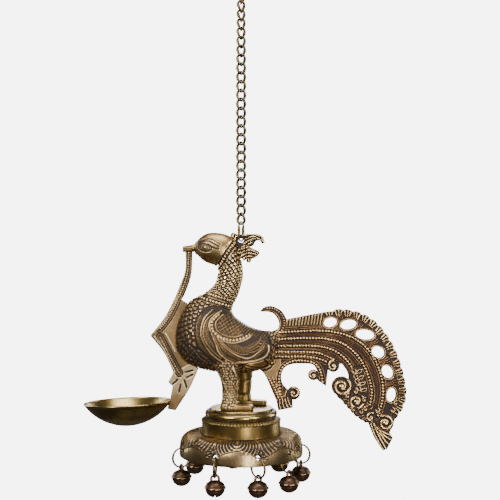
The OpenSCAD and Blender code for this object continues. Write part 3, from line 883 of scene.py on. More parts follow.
TAIL_OUTLINE = np.concatenate([CROOK, OUTER_EDGE, END_TUFT, INNER_EDGE])
SCROLLS = [(44.6, 52.4, 5.6), (61.2, 67.8, 4.5), (78, 75.6, 5.2), (85, 58.4, 8.4), (97.4, 45.8, 7.4),
           (109.4, 32.6, 4.6), (121.6, 28, 7.2)]
WINDOWS = [(75.6, 112.4, 5.4, 3.8, 15), (90.8, 110.6, 6.6, 3.9, 10), (104.8, 102.2, 7.6, 4.1, -6),
           (115.6, 87.6, 5.4, 4.4, -35), (123.4, 71, 5.6, 4.2, -60), (126.6, 51.6, 5.8, 3.6, -98)]


def tail_distance(p):
    d = polygon_distance(p, TAIL_OUTLINE)
    off, along, _ = near_path(p, OUTER_EDGE)
    lobes = np.abs(np.sin(np.pi * (along - LOBE_START) / LOBE)) ** 0.7
    d = d - np.where(along > LOBE_START, 2.2 * lobes * (1 - smooth(off, 0, 4)), 0)
    off, along, _ = near_path(p, LOWER_EDGE)
    d = d - 1.3 * np.abs(np.sin(np.pi * along / 4.6)) * (1 - smooth(off, 0, 3))
    teeth = 0.35 * np.cos(2 * np.pi * along / 1.7) * (1 - smooth(off, 0.5, 2))
    d = d - np.where((along > 1) & (along <= 30), teeth, 0)
    for x, z, r in SCROLLS:
        d = np.minimum(d, np.hypot(p[:, 0] - x, p[:, 1] - z) - r)
    for x, z, a, b, turn in WINDOWS:
        near = np.hypot(p[:, 0] - x, p[:, 1] - z) < 11
        d[near] = np.maximum(d[near], -polygon_distance(p[near], ellipse((x, z), (a, b), turn)))
    return d


def leaf(r, at, length, width, angle, height=0.9):
    """A pointed leaf with a raised outline and a midrib, angle degrees up from the tail's length."""
    c, s = math.cos(math.radians(angle)), math.sin(math.radians(angle))
    u = (r.p[:, 0] - at[0]) * c + (r.p[:, 1] - at[1]) * s
    v = -(r.p[:, 0] - at[0]) * s + (r.p[:, 1] - at[1]) * c
    half = width * np.sin(np.pi * np.clip(u / length, 0, 1)) ** 0.8
    inside = (u > 0) & (u < length) & (np.abs(v) < half)
    lip = bump(np.abs(v) - half * 0.75, 0.45) + 0.3 * bump(v, 0.3)
    r.h = np.where(inside, np.maximum(r.h * 0.2, 0.15 + height * np.clip(lip, 0, 1)), r.h)


TAIL_ROWS = (
    [(29, 103.5), (39, 104), (55, 105), (69, 105.3), (84, 103.2), (97, 98), (107.5, 89.5), (114.5, 78),
     (118.8, 65), (119.8, 52), (117.5, 40), (115, 33)],
    [(26, 97.5), (39, 98.3), (55, 99), (70, 98.6), (84, 95.5), (94.5, 88.5), (102.5, 78.5), (108, 66),
     (110.3, 53), (108.5, 42)],
    [(20, 92), (39, 92.3), (55, 92.6), (68, 91.8), (79, 88.5), (88, 82), (94, 74)],
    [(18, 87.3), (39, 87.2), (55, 87.3), (66, 86.3), (75, 83), (83, 77.5), (88.5, 71)],
    [(18, 83.3), (39, 83.2), (55, 83.4), (66, 81.5), (73, 78.8)],
    [(33.6, 50), (33, 58), (32.6, 66), (35.6, 74.3), (43, 79.2), (52, 80), (60, 78.7), (66, 74), (68.4, 67),
     (69, 61)])
TAIL_RAILS = (
    [(24, 94.8), (39, 95.4), (55, 95.9), (69, 95.3), (81, 92.2), (91.5, 85.4), (99, 76), (104, 64),
     (105.6, 53)],
    [(92, 93), (102, 84.6), (110, 72.5), (114.2, 59), (114.6, 46), (111.6, 37)],
    [(86, 99.4), (99.6, 91.4), (109.6, 78.6), (114.0, 66), (115, 52), (113.4, 42)],
    [(39, 101.4), (55, 102.2), (69, 102.2), (83, 99.4), (94.5, 93)],
    [(70, 86.2), (80, 82.6), (88, 76.2), (93, 70)])
LIMB_ROWS = ([(20.5, 69), (26, 61), (30.5, 52), (32.6, 45.6)],
             [(26, 67), (30, 58.6), (33.8, 50.6), (36.4, 46.4)])
TASSEL_TIPS = ((31.8, 37.8), (34.8, 37.9), (38.4, 38.2), (42, 38.8), (44.6, 40.2))
CURLS = ((90.4, 50.2, 1), (96.4, 54.4, -1), (104.4, 47.2, 1), (101, 37.4, -1), (105.6, 39.6, 1),
         (95.2, 39.2, 1), (114.6, 38.4, -1), (130.6, 44.6, 1), (127.2, 38.8, -1), (26.4, 78.6, -1))
TUFT = ([(109.6, 27.2), (113.2, 17), (119.6, 5.8)], [(112.0, 27.4), (116.4, 16.8), (122, 6.8)],
        [(114.4, 24.4), (119.6, 15.6), (124.2, 10.2)], [(116.8, 21.8), (122, 16.6), (126.6, 14.2)],
        [(119.2, 21), (123.6, 18.8), (127.2, 17.6)])


def comb_and_lobes(r):
    """The comb of quills in front of the first opening, and a small fan of ribs in each outer lobe."""
    x, z = r.p[:, 0], r.p[:, 1]
    comb = (x > 39) & (x < 70) & (z > 107.8)
    wave = smooth(np.abs(np.cos(np.pi * (x - 0.16 * (z - 107)) / 2.55)), 0.2, 0.9)
    r.h = np.where(comb, wave, r.h)
    r.ridge(spline([(38.5, 107.8), (55, 108.9), (70, 109.2), (84, 107.2)], 7), 0.75, 0.95, moat=0.5)
    deep = 5.6
    off, along, side = near_path(r.p, OUTER_EDGE)
    lobed = (along > 30) & (off < deep)
    centre = (np.floor((along - LOBE_START) / LOBE) + 0.5) * LOBE + LOBE_START
    out = off * np.where(side > 0, 1, -1)
    spread = (along - centre) / (0.62 + 0.085 * (out + deep))
    ribs = smooth(np.abs(np.cos(np.pi * spread / 2.5)), 0.25, 0.9)
    gap = smooth(LOBE / 2 - np.abs(along - centre), 0.15, 0.7)
    r.h = np.where(lobed, 1.05 * ribs * gap * smooth(deep - off, 0, 0.8), r.h)


def struts(r):
    """The bars between the openings, ribbed along their length, and the openings' rims."""
    for a, b in zip(WINDOWS[:-1], WINDOWS[1:]):
        mid = np.array([(a[0] + b[0]) / 2, (a[1] + b[1]) / 2])
        way = np.array([-(b[1] - a[1]), b[0] - a[0]], float)
        way /= np.hypot(*way)
        for side_shift in (-1.6, 0, 1.6):
            shift = np.array([way[1], -way[0]]) * side_shift
            bar = [mid - way * 6 + shift * 1.4, mid + shift * 0.6, mid + way * 6 + shift * 1.4]
            r.ridge(np.array(bar), 0.65, 0.85, moat=0.3)
    for x0, z0, a, b, turn in WINDOWS:
        r.ridge(ring_line((x0, z0), (a + 1.0, b + 1.0), turn), 0.8, 1.0, moat=0.3)


def limb(r):
    """The limb that hangs from the root, and its tassel."""
    for row in LIMB_ROWS:
        r.beads(spline(row, 7), r=1.15, pitch=2.3, height=1.15, rails=1.75)
    for k, tip in enumerate(TASSEL_TIPS):
        start = np.array([30.8 + 2.2 * k, 46.6 + 0.5 * k])
        r.ridge(spline([start, (start + tip) / 2 + [-1.0, -1.2], tip], 6), 0.8, 1.1, moat=0.5)
    r.ridge(spline([(37.2, 49), (37.8, 52.8), (40, 56.2), (44, 58)], 7), 0.9, 1.0, moat=0.4)


def crook(r):
    """The hook over the tail's root: a row of beads and a rail."""
    r.h = np.where((r.p[:, 1] > 106) & (r.p[:, 0] < 38), 0.3, r.h)
    row = [(31.1, 101.6), (35.4, 106.9), (37, 112.3), (35, 118), (30.6, 122.4), (26, 124.2), (21.4, 123.6)]
    rail = [(27, 100.8), (32.4, 107), (33.2, 113), (30.6, 118.8), (26, 121.8), (19.5, 122)]
    r.beads(spline(row, 7), r=1.05, pitch=2.2, height=1.1, rails=1.6)
    r.ridge(spline(rail, 7), 0.8, 1.05, moat=0.3)


def scrolls(r):
    """The scrolls, in the order in which they overlap."""
    hands = (-1, 1, 1, -1, -1, 1, -1)
    starts = (100, 60, 90, 40, 40, 60, 120)
    for (x0, z0, radius), hand, start in zip(SCROLLS, hands, starts):
        large = radius > 6
        r.h[np.hypot(r.p[:, 0] - x0, r.p[:, 1] - z0) < radius] = 0.0
        r.scroll((x0, z0), radius, turns=1.6 if large else 1.1, start=start, hand=hand,
                 wire=0.17 if large else 0.23, height=1.2)
        if large:
            r.ridge(ring_line((x0, z0), (radius - 0.7, radius - 0.7)), 0.65, 0.85)


def sprig(r):
    """A stalk with four pairs of leaves beside the inner row."""
    x, z = r.p[:, 0], r.p[:, 1]
    ground = (x > 94.4) & (x < 105) & (z > 54) & (z < 76) & (np.abs(x - 99.6 - (65 - z) * 0.2) < 4.8)
    r.h = np.where(ground, 0.12, r.h)
    for k in range(4):
        for angle in (130, 36):
            leaf(r, (97.4 + 1.15 * k, 69.6 - 5.0 * k), 6.2, 1.75, angle - 4 * k, 1.15)
    r.ridge(spline([(96.8, 75.6), (98.4, 68), (100.8, 58), (102, 53)], 7), 0.45, 0.8)


def lower_edge(r):
    """Short leaves and curls along the lower edge, and the tuft at the tail's end."""
    r.barbs(LOWER_EDGE, 0.2, 4.4, -1, pitch=2.3, depth=1.0, lean=0.7)
    size = 2.9
    for x0, z0, hand in CURLS:
        r.h = np.where(np.hypot(r.p[:, 0] - x0, r.p[:, 1] - z0) < size, 0.0, r.h)
        r.scroll((x0, z0), size, turns=0.9, start=70, hand=hand, wire=0.27, height=1.05)
    for line in TUFT:
        r.ridge(spline(line, 9), 0.95, 1.15, moat=0.45)


def tail_carving(r):
    r.h[:] = 0.42
    tongue(r)
    comb_and_lobes(r)
    struts(r)
    for row in TAIL_ROWS:
        line = spline(row, 7)
        r.ridge(line, 1.9, 0.0, moat=0.1)
        r.beads(line, r=1.4, pitch=2.6, height=1.3, rails=2.3)
    for line in TAIL_RAILS:
        r.ridge(spline(line, 7), 0.7, 0.8, moat=0.4)
    limb(r)
    crook(r)
    scrolls(r)
    sprig(r)
    lower_edge(r)


def tail():
    plate("tail", tail_distance, (-4, 3), (140.5, 128.5), 0.43, 2.6, tail_carving, ["tail_plate"],
          TAIL)


# ---------------------------------------------------------------- ladle stem and crest

STEM_OUTER = np.concatenate([
    spline([(-47.6, 172.4), (-47.6, 156.5), (-52.4, 143), (-58.4, 129), (-66.4, 114.6), (-77.4, 101)], 6),
    spline([(-77, 99.6), (-66, 86), (-58, 69.4)], 6),
    [(-62.4, 60.6), (-58.6, 57.6), (-60.6, 46.5), (-63, 38)]])
STEM_INNER = np.concatenate([
    spline([(-56, 36.6), (-50.5, 45), (-43.4, 56.6), (-36.4, 72.6)], 6),
    spline([(-41, 79), (-47.6, 86.6), (-53, 95), (-54, 104), (-49.6, 116), (-43, 126.4)], 6),
    [(-51, 131)], spline([(-48.6, 135), (-44.4, 146), (-42.2, 156), (-41.6, 172.4)], 6)])


STEM_ROWS = (
    [(-69.4, 106.0), (-64.3, 112.1), (-59.4, 119.9), (-54.8, 129.6), (-50.7, 138.4), (-47.4, 147.1),
     (-45.3, 155.4), (-44.6, 164.6), (-44.5, 172)],
    [(-69.2, 99.4), (-64.6, 90.8), (-60.6, 83.0), (-56.9, 76.2), (-52.4, 68.6)])
STEM_RAILS = (
    ([(-74.6, 102.6), (-66.4, 111.8), (-58.9, 124), (-53.6, 136), (-49.8, 147), (-47.2, 157), (-46.8, 170)],
     0.75, 0.85),
    ([(-73.8, 99.6), (-65.6, 88.6), (-60.4, 78.1), (-56.6, 69.5)], 0.85, 1.0),
    ([(-64.3, 102.4), (-59.5, 93.7), (-56.3, 86.9)], 0.8, 1.1))
LEAF_CUTS = (
    ((-47.8, 69.4), (-41.2, 71.0)), ((-46.8, 64.5), (-41.2, 67.4)), ((-48.3, 62.6), (-46.3, 56.8)),
    ((-51.5, 58.7), (-52.8, 52.9)), ((-54.1, 63.1), (-58.5, 58.9)))


def stem_carving(r):
    x, z = r.p[:, 0], r.p[:, 1]
    # the web and the leaf are smooth; the web is painted lighter toward the neck and darker toward its lower
    # outer edge, as painted light and shade
    r.h[:] = np.clip(0.5 + 0.3 * np.sin(0.055 * (x + 62) + 0.05 * (z - 76)), 0.6, 1)
    leaf_height = 0.7 + 0.25 * smooth(z, 42, 58)
    r.h[:] = np.where(z < 73 + 0.5 * (x + 50), leaf_height, r.h)
    for row in STEM_ROWS:
        line = spline(row, 8)
        d, _, _ = near_path(r.p, line)
        r.h[d < 3.4] = 0.0
        r.beads(line, r=1.05, pitch=1.95, height=0.95, rails=1.95)
    for rail, width, high in STEM_RAILS:
        r.ridge(spline(rail, 8), width, high)
    for cut in LEAF_CUTS:
        r.groove(np.array(cut), 0.95, 1.1)
    r.ridge(spline([(-52.6, 69), (-49.6, 66.4), (-47, 70)], 8), 0.6, 0.75)


def stem():
    outline = np.concatenate([STEM_OUTER, STEM_INNER])
    plate("stem", lambda p: polygon_distance(p, outline), (-79, 35), (-35, 174), 0.36, 3.0, stem_carving,
          ["ladle_stem"], STEM, edge=1.1, floor=0.5)


CREST_ROOT = spline([(-9, 184.5), (-7.2, 188.3), (-2, 186.6), (3.2, 187), (5.4, 184), (5.4, 170), (3, 164.5),
                     (-1, 168), (-7, 176)], 5, closed=True)
UPPER_PLUME = np.concatenate([
    spline([(4.5, 187.2), (10, 187.4), (15, 186.8), (19, 184.2), (20.2, 179.5)], 6),
    spline([(17.8, 178.8), (16, 181.4), (12.5, 181), (10, 177), (4.5, 176)], 6)])
LOWER_PLUME = np.concatenate([
    spline([(4.5, 177), (10, 175), (15.5, 171.8), (14.5, 169), (11, 166.5)], 6),
    spline([(9, 166), (7.6, 162.8), (4.5, 163.5)], 6)])
CREST_HOLE = ellipse((0, 181.55), (2.25, 1.75), 0)
PLUME_LINES = (
    [(0.6, 185.4), (4.6, 186.4), (7.4, 186.9), (12, 186.7), (16, 185.6), (18.6, 183.4), (19, 180.4)],
    [(2.9, 181.6), (6.4, 183.8), (9.6, 184.6), (13, 184.2), (17.4, 181.6)],
    [(2.8, 178.6), (6, 181), (9.4, 182.4), (12.2, 182.8)],
    [(0.6, 176), (6, 178), (9, 179.8)],
    [(-2, 173.6), (3, 175), (6, 175.8), (9, 175.2), (12.6, 173.4)],
    [(-1, 170.8), (2.2, 172.2), (6, 173.2), (10, 172.6), (14.2, 171.2)],
    [(0, 168), (2.2, 169.6), (6, 170.6), (10.4, 170), (13.2, 169.4)],
    [(1.8, 165.8), (3.4, 167.2), (6, 168), (9.2, 167.8), (10.4, 167)],
    [(3.8, 164.4), (5.6, 165.6), (8.2, 165.4)],
    [(5.4, 163.6), (6.6, 163.9), (7.8, 164.0)],
    [(-7, 184.4), (-6.2, 186.9), (-3.6, 186.4)],
    [(-5.2, 181.6), (-4.4, 184.4), (-3.2, 185.4)])


def crest_distance(p):
    shape = [polygon_distance(p, outline) for outline in (CREST_ROOT, UPPER_PLUME, LOWER_PLUME)]
    return np.maximum(np.min(shape, axis=0), -polygon_distance(p, CREST_HOLE))


def crest_carving(r):
    for line in PLUME_LINES:
        r.ridge(spline(line, 7), 1.0, 1.3, moat=0.4)


def crest_half(x, _):
    """Half the crest's thickness: thin where the ring passes, thick in the plumes, thinner at their tips."""
    return 1.4 + 2.6 * smooth(x, 3.2, 6.5) * (1 - 0.35 * smooth(x, 12, 19))


def crest():
    plate("crest", crest_distance, (-10, 161), (21.5, 190), 0.26, crest_half, crest_carving, ["head_crest"],
          CAST, edge=1.6, floor=0.5)


# ---------------------------------------------------------------- turned pieces

def lathe(profile, columns, wave=None):
    """A solid turned round z from a closed line of (radius, z). wave(angle, r, z) adds to the radius."""
    p = np.asarray(profile, float)
    a = full_turn(columns)
    r = np.repeat(p[:, :1], columns, 1)
    z = np.repeat(p[:, 1:], columns, 1)
    if wave is not None:
        r = r + wave(a[None, :], r, z)
    points = np.stack([r * np.cos(a), r * np.sin(a), z], -1)
    rows = len(p)
    i, j = np.meshgrid(np.arange(rows), np.arange(columns), indexing="ij")
    k, l = (j + 1) % columns, (i + 1) % rows
    faces = np.stack([i * columns + j, i * columns + k, l * columns + k, l * columns + j], -1).reshape(-1, 4)
    return points.reshape(-1, 3), faces


def resample(line, step, closed=False):
    """Points along a line at an even spacing."""
    p = np.asarray(line, float)
    if closed:
        p = np.concatenate([p, p[:1]])
    at = run(p)
    n = max(int(round(at[-1] / step)), 4)
    return points_at(p, at, np.linspace(0, at[-1], n + 1)[:n if closed else n + 1])


BASE_R = extent("petal_skirt")[0] / 2
SKIRT_H = 18.0
WALL = 2.5
DRUM_R = 33.8
PLATE_R = 26.75
PLATE_Z = 39.9
BELL_ANGLES = (-123, -74, -20, 19.4, 54, 97, 142, -168)
RING_TURN = (0, 12, 18, 28, 10, -15, 0, 10)
TEETH = 72
PETALS = 8
RING_AT = BASE_R - WALL / 2 - 0.1
RING_HOLE_Z, RING_HOLE_R = 8, 1.9


def plinth_line():
    """The plinth's closed outline: plate, bead moulding, toothed edge and drum, then its inside and stud."""
    top, r, p = PLATE_Z, DRUM_R, PLATE_R
    bead = [(p + 1.2 + 2.7 * math.cos(a), top - 4.7 + 2.7 * math.sin(a))
            for a in np.radians(np.linspace(110, -70, 19))]
    outside = [(0.3, top), (p - 0.5, top), (p, top - 0.35), (p + 0.1, top - 1.4)] + bead + [
        (p + 2.6, top - 7.7), (r - 1, top - 9.2), (r - 0.1, top - 9.7), (r, top - 10.3), (r - 0.4, top - 11),
        (r - 0.5, SKIRT_H + 1.2), (r - 0.3, SKIRT_H + 0.5), (r - 0.7, SKIRT_H + 0.05)]
    inside = [(r - 3, SKIRT_H + 0.05), (r - 3, top - 12.4), (p - 1.5, top - 9), (p - 4, top - 3.4),
              (4, top - 3.4), (4, SKIRT_H - 10.6), (3.2, SKIRT_H - 11.4), (0.3, SKIRT_H - 11.4)]
    return np.concatenate([resample(outside, 0.4), resample(inside, 1.2)])[::-1]


def plinth():
    top, r, p = PLATE_Z, DRUM_R, PLATE_R

    def at_teeth(radius, z):
        return bump(z - (top - 9.3), 1.3) * (radius > p + 2.4)

    def teeth(a, radius, z):
        return at_teeth(radius, z) * (0.9 * np.abs(np.cos(a * TEETH / 2)) - 0.7)

    points, faces = lathe(plinth_line(), 576, teeth)
    radius = np.hypot(points[:, 0], points[:, 1])
    z = points[:, 2]
    tooth = np.abs(np.cos(np.arctan2(points[:, 1], points[:, 0]) * TEETH / 2))
    # painted light: the top face of the plate is made lighter, as lit from above
    wear_and_light = 0.56 + 0.2 * smooth(z, top - 0.6, top - 0.2)
    wear_and_light -= 0.5 * bump(z - (top - 7.8), 0.6) * (radius > p + 1)
    wear_and_light += at_teeth(radius, z) * (0.5 * tooth - 0.42)
    wear_and_light -= 0.5 * bump(z - (top - 1.8), 0.5) * (radius > p - 0.4)
    wear_and_light -= 0.35 * (1 - smooth(z, SKIRT_H, SKIRT_H + 1.6)) * (radius > r - 2)
    # painted highlight along the middle of the bead moulding
    wear_and_light += 0.2 * bump(z - (top - 4.7), 1.5) * (radius > p + 2)
    make("plinth", points, faces, "lamp", ["foot_plinth"], TURNED, wear_and_light)


def petal_height(a, z):
    """Petals on the skirt: nested curves that hang between the points where the rings are. 0 to 1."""
    share = (a + np.pi / 2) / (2 * np.pi) * PETALS
    u = (share + 0.5) % 1 * 2 - 1                        # -1 to 1 across one petal
    half = np.pi / PETALS * BASE_R
    across = np.abs(u) * half
    down = (SKIRT_H + 2.0 - z) * 1.3
    reach = (across ** 2.2 + (down * 0.96) ** 2.2) ** (1 / 2.2)
    facing = np.floor(share + 0.5) / PETALS * 2 * np.pi - np.pi / 2
    wide = np.abs(np.cos(facing))                       # the petals at the two ends are drawn wider
    ribs = smooth(np.abs(np.cos(np.pi * reach / (2.5 + 1.2 * wide))), 0.5 + 0.05 * wide, 0.98)
    cusp = 5.6 + 7.2 * (1 - np.abs(u) ** 1.6)            # where the petals end above the plain rim
    inside = smooth(z, cusp - 0.25, cusp + 0.35)
    lip = bump(z - cusp - 0.7, 0.55)
    heart = dome(np.hypot(across, down - 5.6), 1.5)
    petal = np.maximum(np.maximum(ribs, lip), heart)
    # a cluster of small beads at each point
    off = (1 - np.abs(u)) * half
    drops = np.zeros_like(petal)
    for x0, z0, r in ((0, 11.2, 1.3), (2.4, 8.6, 1.1), (2.3, 12.6, 1.0), (4.4, 7.3, 1.0)):
        close = np.hypot(off - x0, z - z0)
        petal = petal * smooth(close, r, r + 0.5)
        drops = np.maximum(drops, dome(close, r))
    return np.maximum(petal * inside, drops), inside


def skirt_lines():
    """The skirt's outside and inside from its middle down to its rim, with as many points on both."""
    r, h, w = BASE_R, SKIRT_H, WALL
    side = [(r - 17.4, h), (r - 8, h - 0.2), (r - 3.4, h - 2.6), (r - 1, h - 7), (r - 0.25, 7.6),
            (r - 0.1, 3), (r - 0.3, 0.5)]
    outer = resample(np.concatenate([[(4.3, h), (r - 19, h)], spline(side, 6)]), 0.1)
    inner = resample(spline([(4.3, h - w), (r - 17.4, h - w), (r - 9, h - w), (r - 5.4, h - 2.6 - w),
                             (r - 1.2 - w, h - 7.6), (r - 0.2 - w, 7.6), (r - w, 3), (r - w, 0.2)], 8), 0.1)
    along, along_inner = run(outer), run(inner)
    edge = along[np.argmin(np.abs(outer[:, 0] - (r - 18)))]
    rows = np.concatenate([np.linspace(0, edge, 6)[:-1], np.linspace(edge, along[-1], 64)])
    return points_at(outer, along, rows), points_at(inner, along_inner, rows / rows[-1] * along_inner[-1])


def ring_holes(a, z, radius):
    """Signed distance to the nearest ring hole, and the way from its middle, over the skirt's grid."""
    hole = np.full(a.shape, 1e9)
    pull = np.zeros(a.shape + (2,))
    for at in BELL_ANGLES:
        da = (a - math.radians(at - 90) + np.pi) % (2 * np.pi) - np.pi
        off = np.stack([da * (BASE_R - 0.5), z - RING_HOLE_Z], -1)
        d = np.hypot(off[..., 0], off[..., 1]) - RING_HOLE_R
        near = (d < hole) & (radius > BASE_R - 8)
        hole = np.where(near, d, hole)
        pull = np.where(near[..., None], off / np.maximum(d + RING_HOLE_R, 1e-6)[..., None], pull)
    return hole, pull


def hole_border(keep, hole):
    """True at the grid's points on the edge of a hole."""
    touch = np.zeros(hole.shape, int)
    for block in (keep, np.roll(keep, 1, axis=1)):
        touch[:-1] += block
        touch[1:] += block
    border = (touch > 0) & (touch < 4)
    border[0] = border[-1] = False
    return border & (np.abs(hole) < 1)


def skirt():
    line, inside = skirt_lines()
    columns = 640
    radius = line[:, :1]
    z = np.repeat(line[:, 1:], columns, 1)
    a = np.repeat(full_turn(columns)[None, :], len(line), 0)
    carved, petals = petal_height(a, z)
    petals = petals * smooth(radius, BASE_R - 19, BASE_R - 17.2)
    height = carved * smooth(radius, BASE_R - 19, BASE_R - 17.2)
    tangent = np.gradient(line, axis=0)
    tangent /= np.linalg.norm(tangent, axis=1)[:, None]
    outward = np.stack([-tangent[:, 1], tangent[:, 0]], 1)
    hole, pull = ring_holes(a, z, radius)
    left = np.roll(hole, -1, 1)
    keep = close_corners((hole[:-1] + hole[1:] + left[:-1] + left[1:]) / 4 > 0, True)
    # the points on the edges of the holes are pulled onto true circles
    shift = np.where(hole_border(keep, hole), -hole, 0)
    a = a + shift * pull[..., 0] / (BASE_R - 0.5)
    height = height * np.where(np.abs(hole) < 0.9, 0.3, 1.0)

    def turn(profile, lift):
        out = profile[:, :1] + lift * outward[:, :1]
        up = profile[:, 1:] + lift * outward[:, 1:] + shift * pull[..., 1]
        return np.stack([out * np.cos(a), out * np.sin(a), up], -1)

    front = turn(line, 1.25 * height - 0.6 * petals)
    back = turn(inside, np.zeros_like(height))
    points, faces, used = round_shell(front, back, keep)
    wear_and_light = np.where(petals > 0.5, 0.02 + 0.68 * height ** 1.4, 0.68)
    wear_and_light = np.where(radius < BASE_R - 18, 0.3, wear_and_light)
    make("skirt", points, faces, "lamp", ["petal_skirt"], SKIRT, round_worn(wear_and_light, 0.35, used))


BOWL_AT = np.array([-97.3, 0, 43.2])        # the middle of the bowl's rim
BOWL_LEAN = (-3, -2.4)                      # degrees round x and round y


def leaned(points):
    """Points turned by the bowl's lean."""
    rx, ry = (math.radians(angle) for angle in BOWL_LEAN)
    x, y, z = points.T
    y, z = y * math.cos(rx) - z * math.sin(rx), y * math.sin(rx) + z * math.cos(rx)
    x, z = x * math.cos(ry) + z * math.sin(ry), -x * math.sin(ry) + z * math.cos(ry)
    return np.stack([x, y, z], 1)


def bowl():
    r, h, wall = 37.5, 20.0, 1.6

    def arc(rim, depth):
        radius = (rim * rim + depth * depth) / (2 * depth)
        return [(radius * math.sin(t), radius - depth - radius * math.cos(t))
                for t in np.linspace(0.004, math.asin(rim / radius), 70)]

    outer = arc(r, h)
    inner = arc(r - wall, h - wall)
    half = wall / 2
    lip = [(r - half + half * math.cos(t), 0.1 + 0.75 * half * math.sin(t))
           for t in np.linspace(0, np.pi, 14)]
    columns = 200
    points, faces = lathe(np.array(outer + lip + inner[::-1]), columns)
    inside = np.zeros(len(points))
    inside[(len(outer) + len(lip)) * columns:] = 1
    radius = np.hypot(points[:, 0], points[:, 1])
    wear_and_light = 0.5 + 0.12 * inside + 0.25 * smooth(radius, r - 2.2, r - 0.6)
    wear_and_light -= 0.25 * (1 - inside) * smooth(-points[:, 2], 10, 19)
    make("bowl", leaned(points) + BOWL_AT, faces, "lamp", ["oil_bowl"], TURNED, wear_and_light)


# ---------------------------------------------------------------- hook, chain and crest ring

def rounded(path, radius, steps=5):
    """The path, drawn out by a half-round cap at both ends, and its radius at each point."""
    p = np.asarray(path, float)
    t = np.linspace(0, np.pi / 2, steps + 1)[1:]
    out, size = [p], [np.full(len(p), radius)]
    for end, other, front in ((p[0], p[1], True), (p[-1], p[-2], False)):
        way = (end - other) / np.linalg.norm(end - other)
        cap = end + radius * np.sin(t)[:, None] * way
        r = np.maximum(radius * np.cos(t), 0.06)
        if front:
            out.insert(0, cap[::-1])
            size.insert(0, r[::-1])
        else:
            out.append(cap)
            size.append(r)
    return np.concatenate(out), np.concatenate(size)


def turned(points, angle):
    c, s = math.cos(math.radians(angle)), math.sin(math.radians(angle))
    x, y, z = points[..., 0], points[..., 1], points[..., 2]
    return np.stack([x * c - y * s, x * s + y * c, z], -1)


LINKS = 26
CURB = 42.0             # turn of a link's ends against its middle, in degrees
HOOK_BOW = [(-1.3, 4.9), (0, 8.5), (-0.6, 13), (-5.2, 19.2), (-8.6, 24), (-8.6, 30), (-5, 34.8), (0, 36),
            (5, 34.5), (8.4, 30), (8.7, 24.5), (9.6, 20)]


def link_yaw(k):
    return (13 - k) * 4.6 if k < 13 else (24 - k) * 15 if k > 24 else 0.0


def chain():
    wire, r = 1.9, 3.6
    t = full_turn(56)
    a = -math.radians(CURB) * np.sin(t)
    swell = 0.4 * np.cos(t) ** 4        # the sides, which no other link touches, are stouter
    across = (r - swell) * np.cos(t)
    for k in range(1, LINKS + 1):
        name = "chain_link_%02d" % k
        h = (extent(name)[2] - wire) / 2
        path = np.stack([across * np.cos(a), across * np.sin(a), h * np.sin(t)], 1)
        points, faces = tube(path, wire / 2 + swell, 14, closed=True)
        points = turned(points, link_yaw(k)) + [0, 0, middle(name)[2]]
        make("link_%02d" % k, points, faces, name, [name], WIRE)


def crest_ring():
    half, wire, room, length, direction = 3.7, 1.5, 1.8, 18.2, 62
    reach = length / 2 - room / 2 - half
    path = [(half * math.cos(a + turn), 0, half * math.sin(a + turn) + (reach if turn == 0 else -reach))
            for turn in (0, np.pi) for a in np.linspace(0, np.pi, 19)]
    path = resample(path, 0.5, closed=True)
    stout = smooth(reach + 1 - np.abs(path[:, 2]), 0, 3)      # 1 along the sides, which nothing touches
    path[:, 0] -= 0.4 * np.sign(path[:, 0]) * stout
    points, faces = tube(path, wire / 2 + 0.55 * stout, 16, closed=True)
    points = turned(points, direction) + [0, 0, middle("crest_ring")[2]]
    make("crest_ring_wire", points, faces, "crest_ring", ["crest_ring"], WIRE)


def hook():
    wire, r = 2.5, 4.5
    eye = [(r * math.cos(math.radians(a)), r * math.sin(math.radians(a))) for a in range(60, -241, -10)]
    flat = resample(np.concatenate([np.array(eye), spline(HOOK_BOW, 8)]), 0.6)
    path, size = rounded(np.stack([flat[:, 0], np.zeros(len(flat)), flat[:, 1]], 1), wire / 2)
    points, faces = tube(path, size, 18)
    eye_z = lamp_mm(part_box("top_hook")[0])[2] + r + wire / 2
    points = turned(points, link_yaw(1) - CURB + 90) + [0, 0, eye_z]
    make("hook_wire", points, faces, "hook", ["top_hook"], WIRE)


# ---------------------------------------------------------------- bells

def bell_place(k, points):
    angle = BELL_ANGLES[k - 1] - 90
    return turned(turned(points, RING_TURN[k - 1]) + [RING_AT, 0, 0], angle)


def bell_outline(radius, up, down, rows=64):
    """Half outline of a bell from top to bottom, seen from its seam."""
    b = np.linspace(np.pi / 2 - 0.03, -np.pi / 2 + 0.03, rows)
    height = np.where(b > 0, up, down) * np.sign(b) * np.abs(np.sin(b)) ** 0.9
    return radius * np.cos(b), height


def bell_slot(points, width):
    """Signed distance to the slot with round ends, which is only under the seam."""
    half, end_r = 5.6, 1.5
    x, y, z = points[..., 0], points[..., 1], points[..., 2]
    ends = np.minimum(np.hypot(x - half, y), np.hypot(x + half, y)) - end_r
    d = np.minimum(np.where(np.abs(x) < half, np.abs(y) - width / 2, 9), ends)
    return np.where(z < -2.2, d, 9)


def bell_lug(high):
    """The wire loop on a bell whose top is at this height."""
    r, wire, steps = 3.2, 2.2, 40
    t = np.linspace(-0.62, np.pi + 0.62, steps)
    line = np.stack([np.zeros(steps), r * np.cos(t), high - r - wire / 2 + r * np.sin(t)], 1)
    return tube(*rounded(line, wire / 2, 3), 14)


